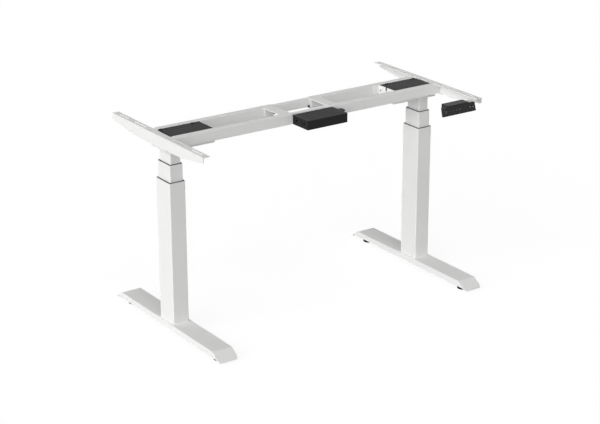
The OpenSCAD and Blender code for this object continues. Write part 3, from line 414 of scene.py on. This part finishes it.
finish = {
    "foot": "whiteCoat", "outer_tube": "whiteCoat", "outer_collar": "greyPlastic",
    "fixed_screw": "drawnSteel", "column_bolts": "zincSteel",
    "front_levelling_foot": "padRubber", "rear_levelling_foot": "padRubber",
    "middle_tube": "whiteCoat", "middle_glides": "greyPlastic", "hollow_screw": "drawnSteel",
    "inner_tube": "whiteCoat", "inner_nut_block": "turnedBrass", "drive_shaft": "drawnSteel",
    "gearbox": "castAluminium", "motor": "motorPaint", "motor_housing": "whiteCoat",
    "motor_cover": "blackCoat", "frame_screws": "blackScrew", "side_bracket": "whiteCoat",
    "front_rail": "whiteCoat", "rear_rail": "whiteCoat", "cross_plate": "whiteCoat",
    "front_inner_rail": "whiteCoat", "rear_inner_rail": "whiteCoat", "centre_screws": "blackScrew",
    "control_box_base": "blackPlastic", "control_box_lid": "lidPlastic",
    "control_circuit_board": "boardGreen", "handset_shell": "handsetPlastic",
    "handset_back": "handsetPlastic", "handset_circuit_board": "boardGreen",
}


def plainName(name):
    for side in sides:
        name = name.removeprefix(side + "_")
    return name


for nodeName, nodeObject in nodes.items():
    nodeObject.data.materials.clear()
    nodeObject.data.materials.append(mats[finish.get(plainName(nodeName), "keyPlastic")])


# Pieces with real edges, made from the carried nodes

def linked(name, mesh):
    piece = bpy.data.objects.new(name, mesh)
    bpy.context.scene.collection.objects.link(piece)
    return piece


def baked(piece):
    graph = bpy.context.evaluated_depsgraph_get()
    mesh = bpy.data.meshes.new_from_object(piece.evaluated_get(graph), depsgraph=graph)
    piece.modifiers.clear()
    piece.data = mesh
    return piece


# How closely faces and points are taken for the same: lengths in mm, angles in degrees
fit = {"weld": 0.002, "flat": 0.3, "square": 0.8, "sharp": 33, "level": 0.2, "ring": 0.01}
near = fit["level"] * mm
sharp = math.radians(fit["sharp"])


def squareOn(edge):
    squareShare = math.cos(math.radians(fit["square"]))
    return all(max(abs(part) for part in face.normal) > squareShare for face in edge.link_faces)


def mergedCopy(nodeName):
    made = bmesh.new()
    made.from_mesh(nodes[nodeName].data)
    bmesh.ops.remove_doubles(made, verts=made.verts, dist=fit["weld"] * mm)
    flat = math.radians(fit["flat"])
    # the foot's sloping noses stay triangles
    verts = [] if plainName(nodeName) == "foot" else made.verts[:]
    edges = [edge for edge in made.edges if verts or squareOn(edge)]
    bmesh.ops.dissolve_limit(made, angle_limit=flat, verts=verts, edges=edges)
    return made


def standFor(piece, nodeName):
    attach(piece, body_of(nodes[nodeName])[0])
    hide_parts(nodeName)


# How wide the edges are rounded, in mm
rounding = {
    "steps": 2,
    "tube": 0.35,
    "small": 0.2,
    "railEnd": 0.3,
    "cover": 0.5,
    "fold": 1.8,
    "footSide": 1.2,
    "bracketFold": 1.6,
    "housingFold": 1.2,
    "box": 1.2,
    "shell": 0.6,
    "back": 0.5,
}
# How far from a piece's ends or rims its rounded edges lie, in mm
reach = {"nose": 45, "railEnd": 8, "coverRim": 2.2, "housingRim": 2, "lidSeat": 1, "keyGap": 1, "ear": 22}


# widthAt gives the width in mm by which an outer edge is rounded at a place, or 0
def dressed(nodeName, widthAt, matAt=None, matNames=()):
    made = mergedCopy(nodeName)
    lo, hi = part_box(nodeName)
    weight = made.edges.layers.float.new("bevel_weight_edge")
    for face in made.faces:
        face.smooth = True
    widths = {}
    for edge in made.edges:
        if edge.calc_face_angle(0) < sharp:
            continue
        width = widthAt((edge.verts[0].co + edge.verts[1].co) / 2, lo, hi) if edge.is_convex else 0
        if width:
            widths[edge] = width
        else:
            edge.smooth = False
    widest = max(widths.values())
    for edge, width in widths.items():
        edge[weight] = width / widest
    mesh = bpy.data.meshes.new(nodeName + "_dressed")
    made.to_mesh(mesh)
    made.free()
    piece = linked(nodeName + "_dressed", mesh)
    bevel = piece.modifiers.new("edges", "BEVEL")
    bevel.limit_method = "WEIGHT"
    bevel.width = widest * mm
    bevel.segments = rounding["steps"]
    bevel.use_clamp_overlap = False
    shade = piece.modifiers.new("shade", "WEIGHTED_NORMAL")
    shade.keep_sharp = True
    baked(piece)
    for matName in matNames or [finish.get(plainName(nodeName), "keyPlastic")]:
        piece.data.materials.append(mats[matName])
    if matAt:
        for face in piece.data.polygons:
            face.material_index = matAt(face.center, lo, hi)
    standFor(piece, nodeName)


def everywhere(place, lo, hi):
    return rounding["tube"]


def fineEverywhere(place, lo, hi):
    return rounding["small"]


def fromSides(place, lo, hi):
    return min(place.x - lo.x, hi.x - place.x, place.y - lo.y, hi.y - place.y)


def footEdges(place, lo, hi):
    atSide = min(place.x - lo.x, hi.x - place.x) < near
    atNose = min(place.y - lo.y, hi.y - place.y) < reach["nose"] * mm
    if hi.z - place.z < near and (atSide or atNose):
        return rounding["fold"]
    return rounding["footSide"] if atSide and place.z > (lo.z + hi.z) / 2 else 0


def railEdges(place, lo, hi):
    return rounding["railEnd"] if min(place.x - lo.x, hi.x - place.x) < reach["railEnd"] * mm else 0


def coverEdges(place, lo, hi):
    return rounding["cover"] if fromSides(place, lo, hi) < reach["coverRim"] * mm else 0


def bracketEdges(place, lo, hi):
    outside = max(abs(lo.x), abs(hi.x))
    return rounding["bracketFold"] if hi.z - place.z < near and outside - abs(place.x) < near else 0


def housingEdges(place, lo, hi):
    atRim = fromSides(place, lo, hi) < reach["housingRim"] * mm
    return rounding["housingFold"] if place.z - lo.z < near and atRim else 0


def plateEdges(place, lo, hi):
    atFold = min(place.y - lo.y, hi.y - place.y) < near
    return rounding["fold"] if hi.z - place.z < near and atFold else 0


def boxEdges(place, lo, hi):
    lidLo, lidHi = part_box("control_box_lid")
    seat = reach["lidSeat"] * mm
    overLid = lidLo.x - seat < place.x < lidHi.x + seat and lidLo.y - seat < place.y < lidHi.y + seat
    onBox = place.x < lidHi.x + (lidLo.x - lo.x) + seat
    level = hi.z - place.z < near or place.z - lo.z < near
    return rounding["box"] if level and onBox and (place.z < lidLo.z or not overLid) else 0


keyNames = ["key_memory", "key_1", "key_2", "key_3", "key_4", "key_down", "key_up"]


def shellEdges(place, lo, hi):
    gap = reach["keyGap"] * mm
    for keyName in keyNames:
        keyLo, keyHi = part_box(keyName)
        if keyLo.x - gap < place.x < keyHi.x + gap and keyLo.z - gap < place.z < keyHi.z + gap:
            return 0
    return rounding["shell"]


def backEdges(place, lo, hi):
    return 0 if hi.x - place.x < reach["ear"] * mm else rounding["back"]


edgeRules = {
    "foot": footEdges, "outer_tube": everywhere, "middle_tube": everywhere, "inner_tube": everywhere,
    "outer_collar": everywhere, "motor_housing": housingEdges, "motor_cover": coverEdges,
    "side_bracket": bracketEdges, "front_rail": railEdges, "rear_rail": railEdges,
    "cross_plate": plateEdges, "front_inner_rail": railEdges, "rear_inner_rail": railEdges,
    "control_box_base": boxEdges, "control_box_lid": everywhere, "handset_shell": shellEdges,
}
for nodeName in nodes:
    if plainName(nodeName) in edgeRules:
        dressed(nodeName, edgeRules[plainName(nodeName)])
    if nodeName in keyNames:
        dressed(nodeName, fineEverywhere)


# The handset's ear is coated like the bracket that it hangs from
earInset = 20


def earPart(place, lo, hi):
    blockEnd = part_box("handset_shell")[1].x - earInset * mm
    return 1 if place.x > blockEnd and place.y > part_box("right_side_bracket")[0].y else 0


dressed("handset_back", backEdges, earPart, ["handsetPlastic", "whiteCoat"])
print("edges ready")


# Circuit board with its parts in their own materials

board = {
    "thickness": 1.6,
    "levelGap": 0.05,
    "socketShares": (0.12, 0.86),
    "bareShare": 0.88,
    "cansShare": 0.45,
    "coilShare": 0.6,
}


def boardPart(place, lo, hi):
    boardTop = lo.z + (board["thickness"] + board["levelGap"]) * mm
    alongShare = (place.x - lo.x) / (hi.x - lo.x)
    acrossShare = (place.y - lo.y) / (hi.y - lo.y)
    leftShare, rightShare = board["socketShares"]
    if place.z < boardTop and leftShare < alongShare < board["bareShare"]:
        return 0
    if alongShare < leftShare or alongShare > rightShare:
        return 1
    if alongShare < board["cansShare"]:
        return 2
    return 3 if acrossShare < board["coilShare"] else 4


dressed("control_circuit_board", fineEverywhere, boardPart,
        ["boardGreen", "socketPlastic", "canSleeve", "coilTape", "castAluminium"])


# Screws: heads with a socket, on every screw of the carried nodes

def newGeometryTree(name, inputs):
    tree = bpy.data.node_groups.new(name, "GeometryNodeTree")
    tree.interface.new_socket("Geometry", in_out="INPUT", socket_type="NodeSocketGeometry")
    for label, kind, value in inputs:
        socket = tree.interface.new_socket(label, in_out="INPUT", socket_type=kind)
        if value is not None:
            socket.default_value = value
    tree.interface.new_socket("Geometry", in_out="OUTPUT", socket_type="NodeSocketGeometry")
    return tree, tree.nodes.new("NodeGroupInput"), tree.nodes.new("NodeGroupOutput")


def maths(tree, operation, first, second):
    node = add(tree, "ShaderNodeMath", operation=operation)
    for socket, value in zip(node.inputs, (first, second)):
        if isinstance(value, (int, float)):
            socket.default_value = value
        else:
            tree.links.new(value, socket)
    return node.outputs[0]


def shifted(tree, geometry, height):
    move = add(tree, "GeometryNodeTransform")
    along = add(tree, "ShaderNodeCombineXYZ")
    tree.links.new(height, along.inputs["Z"])
    tree.links.new(geometry, move.inputs["Geometry"])
    tree.links.new(along.outputs[0], move.inputs["Translation"])
    return move.outputs[0]


def cylinderNode(tree, vertices, sideSegments, radius, depth):
    body = add(tree, "GeometryNodeMeshCylinder")
    for key, value in (("Vertices", vertices), ("Side Segments", sideSegments)):
        body.inputs[key].default_value = value
    tree.links.new(radius, body.inputs["Radius"])
    tree.links.new(depth, body.inputs["Depth"])
    return body.outputs["Mesh"]


screwMesh = {"headSides": 40, "headRings": 8, "shankSides": 24, "socketSides": 6}


# The shank runs along +Z from the origin, and the head hangs below it
def makeScrewTree():
    tree, start, end = newGeometryTree("socketScrews", [
        ("Head Diameter", "NodeSocketFloat", 0.01),
        ("Head Height", "NodeSocketFloat", 0.003),
        ("Dome", "NodeSocketFloat", 0.6),
        ("Socket Size", "NodeSocketFloat", 0.004),
        ("Socket Depth", "NodeSocketFloat", 0.0015),
        ("Shank Diameter", "NodeSocketFloat", 0.005),
        ("Shank Length", "NodeSocketFloat", 0.012),
        ("Turn", "NodeSocketVector", (0, 0, 0)),
        ("Material", "NodeSocketMaterial", None),
    ])
    headRadius = maths(tree, "MULTIPLY", start.outputs["Head Diameter"], 0.5)
    head = cylinderNode(tree, screwMesh["headSides"], screwMesh["headRings"], headRadius,
                        start.outputs["Head Height"])
    # every ring of the head is drawn in by its height: a dome
    position = add(tree, "GeometryNodeInputPosition")
    parts = add(tree, "ShaderNodeSeparateXYZ")
    tree.links.new(position.outputs[0], parts.inputs[0])
    fromSeat = maths(tree, "SUBTRACT", maths(tree, "MULTIPLY", start.outputs["Head Height"], 0.5),
                     parts.outputs["Z"])
    share = maths(tree, "DIVIDE", fromSeat, start.outputs["Head Height"])
    drawn = maths(tree, "POWER", maths(tree, "MULTIPLY", share, start.outputs["Dome"]), 2)
    scale = maths(tree, "SQRT", maths(tree, "SUBTRACT", 1, drawn), 0)
    placed = add(tree, "ShaderNodeCombineXYZ")
    tree.links.new(maths(tree, "MULTIPLY", parts.outputs["X"], scale), placed.inputs["X"])
    tree.links.new(maths(tree, "MULTIPLY", parts.outputs["Y"], scale), placed.inputs["Y"])
    tree.links.new(parts.outputs["Z"], placed.inputs["Z"])
    dome = add(tree, "GeometryNodeSetPosition")
    tree.links.new(head, dome.inputs["Geometry"])
    tree.links.new(placed.outputs[0], dome.inputs["Position"])
    down = maths(tree, "MULTIPLY", start.outputs["Head Height"], -0.5)
    headPlaced = shifted(tree, dome.outputs[0], down)
    socketRadius = maths(tree, "MULTIPLY", start.outputs["Socket Size"], 1 / math.sqrt(3))
    socketDepth = maths(tree, "MULTIPLY", start.outputs["Socket Depth"], 2)
    socket = cylinderNode(tree, screwMesh["socketSides"], 1, socketRadius, socketDepth)
    socketPlaced = shifted(tree, socket, maths(tree, "MULTIPLY", start.outputs["Head Height"], -1))
    cut = add(tree, "GeometryNodeMeshBoolean", operation="DIFFERENCE")
    tree.links.new(headPlaced, cut.inputs["Mesh 1"])
    tree.links.new(socketPlaced, cut.inputs["Mesh 2"])
    shankRadius = maths(tree, "MULTIPLY", start.outputs["Shank Diameter"], 0.5)
    shank = cylinderNode(tree, screwMesh["shankSides"], 1, shankRadius, start.outputs["Shank Length"])
    shankPlaced = shifted(tree, shank, maths(tree, "MULTIPLY", start.outputs["Shank Length"], 0.5))
    both = add(tree, "GeometryNodeJoinGeometry")
    tree.links.new(cut.outputs["Mesh"], both.inputs[0])
    tree.links.new(shankPlaced, both.inputs[0])
    onPoints = add(tree, "GeometryNodeInstanceOnPoints")
    turn = add(tree, "FunctionNodeEulerToRotation")
    tree.links.new(start.outputs["Turn"], turn.inputs[0])
    tree.links.new(start.outputs["Geometry"], onPoints.inputs["Points"])
    tree.links.new(both.outputs[0], onPoints.inputs["Instance"])
    tree.links.new(turn.outputs[0], onPoints.inputs["Rotation"])
    real = add(tree, "GeometryNodeRealizeInstances")
    paint = add(tree, "GeometryNodeSetMaterial")
    tree.links.new(onPoints.outputs[0], real.inputs[0])
    tree.links.new(real.outputs[0], paint.inputs["Geometry"])
    tree.links.new(start.outputs["Material"], paint.inputs["Material"])
    tree.links.new(paint.outputs[0], end.inputs[0])
    return tree


# The ridge's middle and radius are shares of the thread's depth
threadMesh = {"coreSides": 40, "stepsPerTurn": 32, "ridgeSides": 6, "ridgeInShare": 0.62, "ridgeShare": 0.6}


# A screw thread wound round a core, standing on the origin along +Z
def makeThreadTree():
    tree, start, end = newGeometryTree("threadedRod", [
        ("Radius", "NodeSocketFloat", 0.005),
        ("Length", "NodeSocketFloat", 0.02),
        ("Pitch", "NodeSocketFloat", 0.0015),
        ("Depth", "NodeSocketFloat", 0.0009),
        ("Material", "NodeSocketMaterial", None),
    ])
    coreRadius = maths(tree, "SUBTRACT", start.outputs["Radius"], start.outputs["Depth"])
    core = cylinderNode(tree, threadMesh["coreSides"], 1, coreRadius, start.outputs["Length"])
    corePlaced = shifted(tree, core, maths(tree, "MULTIPLY", start.outputs["Length"], 0.5))
    helix = add(tree, "GeometryNodeCurveSpiral")
    helix.inputs["Resolution"].default_value = threadMesh["stepsPerTurn"]
    threadLength = maths(tree, "SUBTRACT", start.outputs["Length"], start.outputs["Pitch"])
    turns = maths(tree, "DIVIDE", threadLength, start.outputs["Pitch"])
    tree.links.new(turns, helix.inputs["Rotations"])
    tree.links.new(threadLength, helix.inputs["Height"])
    ridgeIn = maths(tree, "MULTIPLY", start.outputs["Depth"], threadMesh["ridgeInShare"])
    middleRadius = maths(tree, "SUBTRACT", start.outputs["Radius"], ridgeIn)
    tree.links.new(middleRadius, helix.inputs["Start Radius"])
    tree.links.new(middleRadius, helix.inputs["End Radius"])
    ridge = add(tree, "GeometryNodeCurvePrimitiveCircle")
    ridge.inputs["Resolution"].default_value = threadMesh["ridgeSides"]
    ridgeRadius = maths(tree, "MULTIPLY", start.outputs["Depth"], threadMesh["ridgeShare"])
    tree.links.new(ridgeRadius, ridge.inputs["Radius"])
    swept = add(tree, "GeometryNodeCurveToMesh")
    swept.inputs["Fill Caps"].default_value = True
    tree.links.new(helix.outputs[0], swept.inputs["Curve"])
    tree.links.new(ridge.outputs[0], swept.inputs["Profile Curve"])
    threadPlaced = shifted(tree, swept.outputs[0], maths(tree, "MULTIPLY", start.outputs["Pitch"], 0.5))
    both = add(tree, "GeometryNodeJoinGeometry")
    tree.links.new(corePlaced, both.inputs[0])
    tree.links.new(threadPlaced, both.inputs[0])
    onPoints = add(tree, "GeometryNodeInstanceOnPoints")
    tree.links.new(start.outputs["Geometry"], onPoints.inputs["Points"])
    tree.links.new(both.outputs[0], onPoints.inputs["Instance"])
    real = add(tree, "GeometryNodeRealizeInstances")
    paint = add(tree, "GeometryNodeSetMaterial")
    tree.links.new(onPoints.outputs[0], real.inputs[0])
    tree.links.new(real.outputs[0], paint.inputs["Geometry"])
    tree.links.new(start.outputs["Material"], paint.inputs["Material"])
    tree.links.new(paint.outputs[0], end.inputs[0])
    return tree


screwTree = makeScrewTree()
threadTree = makeThreadTree()


def grown(name, tree, points, values):
    mesh = bpy.data.meshes.new(name)
    mesh.from_pydata([tuple(p) for p in points], [], [])
    piece = linked(name, mesh)
    modifier = piece.modifiers.new(tree.name, "NODES")
    modifier.node_group = tree
    for item in tree.interface.items_tree:
        if item.in_out == "INPUT" and item.name in values:
            modifier[item.identifier] = values[item.name]
    return baked(piece)


def joined(name, pieces):
    made = bmesh.new()
    materials = []
    for piece in pieces:
        first = len(made.faces)
        made.from_mesh(piece.data)
        made.faces.ensure_lookup_table()
        own = [m for m in piece.data.materials if m]
        for face in made.faces[first:]:
            mat = own[min(face.material_index, len(own) - 1)]
            if mat not in materials:
                materials.append(mat)
            face.material_index = materials.index(mat)
        bpy.data.objects.remove(piece)
    mesh = bpy.data.meshes.new(name)
    made.to_mesh(mesh)
    made.free()
    for mat in materials:
        mesh.materials.append(mat)
    return linked(name, mesh)


# The solids of a node, as lists of points, in the order of its vertices
def solidsOf(nodeName):
    made = mergedCopy(nodeName)
    taken = set()
    solids = []
    for first in made.verts:
        if first in taken:
            continue
        taken.add(first)
        waiting = [first]
        solid = []
        while waiting:
            vert = waiting.pop()
            solid.append(vert.co.copy())
            for edge in vert.link_edges:
                other = edge.other_vert(vert)
                if other not in taken:
                    taken.add(other)
                    waiting.append(other)
        solids.append(solid)
    made.free()
    return solids


# A screw's seat, direction and sizes, read from its solid
def measuredScrew(points):
    spans = [(min(p[i] for p in points), max(p[i] for p in points)) for i in range(3)]
    widths = [hi - lo for lo, hi in spans]
    pairs = {0: (1, 2), 1: (0, 2), 2: (0, 1)}
    axis = min(pairs, key=lambda i: abs(widths[pairs[i][0]] - widths[pairs[i][1]]))
    middle = Vector([(lo + hi) / 2 for lo, hi in spans])
    levels = sorted({round(p[axis] / mm, 3) * mm for p in points})

    def radiusAt(level):
        ring = [p for p in points if abs(p[axis] - level) < fit["ring"] * mm]
        return max((Vector([p[i] - middle[i] if i != axis else 0 for i in range(3)])).length for p in ring)

    headLow = radiusAt(levels[0]) > radiusAt(levels[-1])
    seatLevel = levels[1] if headLow else levels[-2]
    direction = Vector([0, 0, 0])
    direction[axis] = 1 if headLow else -1
    seat = middle.copy()
    seat[axis] = seatLevel
    ends = (levels[0], levels[-1]) if headLow else (levels[-1], levels[0])
    return {
        "seat": seat, "direction": direction,
        "headDiameter": 2 * radiusAt(ends[0]), "headHeight": abs(seatLevel - ends[0]),
        "shankDiameter": 2 * radiusAt(ends[1]), "shankLength": abs(ends[1] - seatLevel),
    }


screwLooks = {
    "column_bolts": {"dome": 0.3, "socket": 0.5, "depth": 0.6},
    "frame_screws": {"dome": 0.5, "socket": 0.4, "depth": 0.6},
    "centre_screws": {"dome": 0.6, "socket": 0.4, "depth": 0.5},
}


def replaceScrews(nodeName):
    look = screwLooks[plainName(nodeName)]
    pieces = []
    for i, solid in enumerate(solidsOf(nodeName)):
        found = measuredScrew(solid)
        turn = found["direction"].to_track_quat("Z", "Y").to_euler()
        piece = grown(f"{nodeName}_{i}", screwTree, [(0, 0, 0)], {
            "Head Diameter": found["headDiameter"], "Head Height": found["headHeight"],
            "Dome": look["dome"], "Socket Size": look["socket"] * found["headDiameter"],
            "Socket Depth": look["depth"] * found["headHeight"],
            "Shank Diameter": found["shankDiameter"], "Shank Length": found["shankLength"],
            "Turn": turn, "Material": mats[finish[plainName(nodeName)]]})
        piece.data.transform(Matrix.Translation(found["seat"]))
        pieces.append(piece)
    whole = joined(nodeName + "_detailed", pieces)
    whole.data.set_sharp_from_angle(angle=sharp)
    standFor(whole, nodeName)


for nodeName in nodes:
    if plainName(nodeName) in screwLooks:
        replaceScrews(nodeName)
print("screws ready")


# Levelling feet: a ribbed pad and a threaded stud

levelling = {
    "edgeDrop": 0.6,
    "ribs": 48,
    "ribDepth": 0.35,
    "pitch": 1.5,
    "threadDepth": 0.8,
}
ringSteps = 2 * levelling["ribs"]


def ringOf(made, middle, radius, height, ribbed):
    ring = []
    for i in range(ringSteps):
        angle = math.tau * i / ringSteps
        own = radius - (levelling["ribDepth"] * mm if ribbed and i % 2 else 0)
        ring.append(made.verts.new(
            (middle.x + own * math.cos(angle), middle.y + own * math.sin(angle), height)))
    return ring


def makeLevellingFoot(nodeName):
    lo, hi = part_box(nodeName)
    middle = (lo + hi) / 2
    points = [p for solid in solidsOf(nodeName) for p in solid]
    levels = sorted({round(p.z / mm, 2) * mm for p in points})
    edgeHeight, padHeight = levels[1], levels[2]
    studRadius = max(math.hypot(p.x - middle.x, p.y - middle.y) for p in points if p.z > hi.z - near)
    neckRadius = max(math.hypot(p.x - middle.x, p.y - middle.y)
                     for p in points if abs(p.z - padHeight) < near)
    padRadius = (hi.x - lo.x) / 2
    drop = levelling["edgeDrop"] * mm
    profile = [
        (padRadius - drop, lo.z, False), (padRadius, lo.z + drop, True),
        (padRadius, edgeHeight - drop, True), (padRadius - drop, edgeHeight, False),
        (neckRadius + drop, padHeight - drop / 2, False), (neckRadius, padHeight, False)]
    made = bmesh.new()
    rings = [ringOf(made, middle, *level) for level in profile]
    for below, above in zip(rings, rings[1:]):
        for i in range(ringSteps):
            j = (i + 1) % ringSteps
            made.faces.new((below[i], below[j], above[j], above[i]))
    made.faces.new(rings[0][::-1])
    made.faces.new(rings[-1])
    mesh = bpy.data.meshes.new(nodeName + "_pad")
    made.to_mesh(mesh)
    made.free()
    mesh.materials.append(mats["padRubber"])
    pad = linked(nodeName + "_pad", mesh)
    stud = grown(nodeName + "_stud", threadTree, [(middle.x, middle.y, padHeight)], {
        "Radius": studRadius, "Length": hi.z - padHeight, "Pitch": levelling["pitch"] * mm,
        "Depth": levelling["threadDepth"] * mm, "Material": mats["zincSteel"]})
    whole = joined(nodeName + "_detailed", [pad, stud])
    whole.data.set_sharp_from_angle(angle=sharp)
    standFor(whole, nodeName)


for nodeName in nodes:
    if plainName(nodeName) in ("front_levelling_foot", "rear_levelling_foot"):
        makeLevellingFoot(nodeName)
print("levelling feet ready")


# Legends on the handset

legends = {
    "words": {"key_memory": "M", "key_1": "1", "key_2": "2", "key_3": "3", "key_4": "4"},
    "arrows": {"key_down": -1, "key_up": 1},
    "height": 4.6,
    "thickness": 0.06,
    "sink": 0.02,
    "arrowDownShare": 0.6,
    "arrowUpShare": 0.8,
    "dotRadius": 0.9,
    "dotSides": 16,
    "dotsLeft": 8.8,
    "dotHeights": (-4.5, 3.6, 11.2),
    "window": (25.0, 13.0),
    "windowRound": 1.5,
    "windowSteps": 24,
    "keyProud": 0.4,
}


# The front face of a node: its middle and its axes to the right, outwards and up
def frontOf(nodeName):
    mesh = nodes[nodeName].data
    largest = max(mesh.polygons, key=lambda face: face.area if face.normal.y < -0.5 else 0)
    out = largest.normal.copy()
    right = Vector((1, 0, 0))
    up = out.cross(right)
    level = max(v.co.dot(out) for v in mesh.vertices)
    front = [v.co for v in mesh.vertices if v.co.dot(out) > level - fit["ring"] * mm]
    middle = sum(front, Vector()) / len(front)
    return middle, right, out, up


def facePlace(nodeName, offset=(0, 0)):
    middle, right, out, up = frontOf(nodeName)
    place = Matrix((right, up, out)).transposed().to_4x4()
    sink = legends["sink"] * mm
    place.translation = middle + right * offset[0] * mm + up * offset[1] * mm - out * sink
    return place


def solidFrom(name, outline, place, matName, body):
    thickness = legends["thickness"] * mm
    count = len(outline)
    points = [(x * mm, y * mm, z) for z in (0, thickness) for x, y in outline]
    faces = [tuple(range(count))[::-1], tuple(range(count, 2 * count))]
    faces += [(i, (i + 1) % count, (i + 1) % count + count, i + count) for i in range(count)]
    mesh = bpy.data.meshes.new(name)
    mesh.from_pydata(points, [], faces)
    mesh.transform(place)
    mesh.materials.append(mats[matName])
    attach(linked(name, mesh), body)


def addWord(nodeName, word):
    curve = bpy.data.curves.new("legend_" + nodeName, "FONT")
    curve.body = word
    curve.size = legends["height"] * mm
    curve.extrude = legends["thickness"] * mm / 2
    curve.align_x = "CENTER"
    curve.align_y = "CENTER"
    text = linked("legend_" + nodeName, curve)
    graph = bpy.context.evaluated_depsgraph_get()
    mesh = bpy.data.meshes.new_from_object(text.evaluated_get(graph), depsgraph=graph)
    bpy.data.objects.remove(text)
    mesh.transform(facePlace(nodeName))
    mesh.materials.clear()
    mesh.materials.append(mats["legendInk"])
    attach(linked("legend_" + nodeName, mesh), body_of(nodes[nodeName])[0])


for nodeName, word in legends["words"].items():
    addWord(nodeName, word)
size = legends["height"] / 2
foot = legends["arrowDownShare"] * size
head = legends["arrowUpShare"] * size
for nodeName, way in legends["arrows"].items():
    tip = [(-size, -way * foot), (size, -way * foot), (0, way * head)]
    outline = tip if way > 0 else tip[::-1]
    solidFrom("legend_" + nodeName, outline, facePlace(nodeName), "legendInk",
              body_of(nodes[nodeName])[0])
handsetBody = body_of(nodes["handset_shell"])[0]


def onShell(nodeName, offset):
    place = facePlace(nodeName, offset)
    place.translation -= frontOf(nodeName)[2] * (legends["keyProud"] * mm)
    return place


radius = legends["dotRadius"]
angles = [math.tau * k / legends["dotSides"] for k in range(legends["dotSides"])]
dot = [(radius * math.cos(angle), radius * math.sin(angle)) for angle in angles]
for i, height in enumerate(legends["dotHeights"]):
    solidFrom(f"legend_dot_{i + 1}", dot, onShell("key_memory", (-legends["dotsLeft"], height)),
              "legendInk", handsetBody)
windowMiddle = (frontOf("key_4")[0].x + frontOf("key_down")[0].x) / 2
halfW, halfH = (size / 2 for size in legends["window"])
corner = legends["windowRound"]
windowOutline = []
for k in range(legends["windowSteps"]):
    angle = math.tau * (k + 0.5) / legends["windowSteps"]
    x = math.copysign(halfW - corner, math.cos(angle)) + corner * math.cos(angle)
    y = math.copysign(halfH - corner, math.sin(angle)) + corner * math.sin(angle)
    windowOutline.append((x, y))
windowRight = (windowMiddle - frontOf("key_4")[0].x) / mm
solidFrom("handset_window", windowOutline, onShell("key_4", (windowRight, 0)), "displayGloss", handsetBody)
print("legends ready")
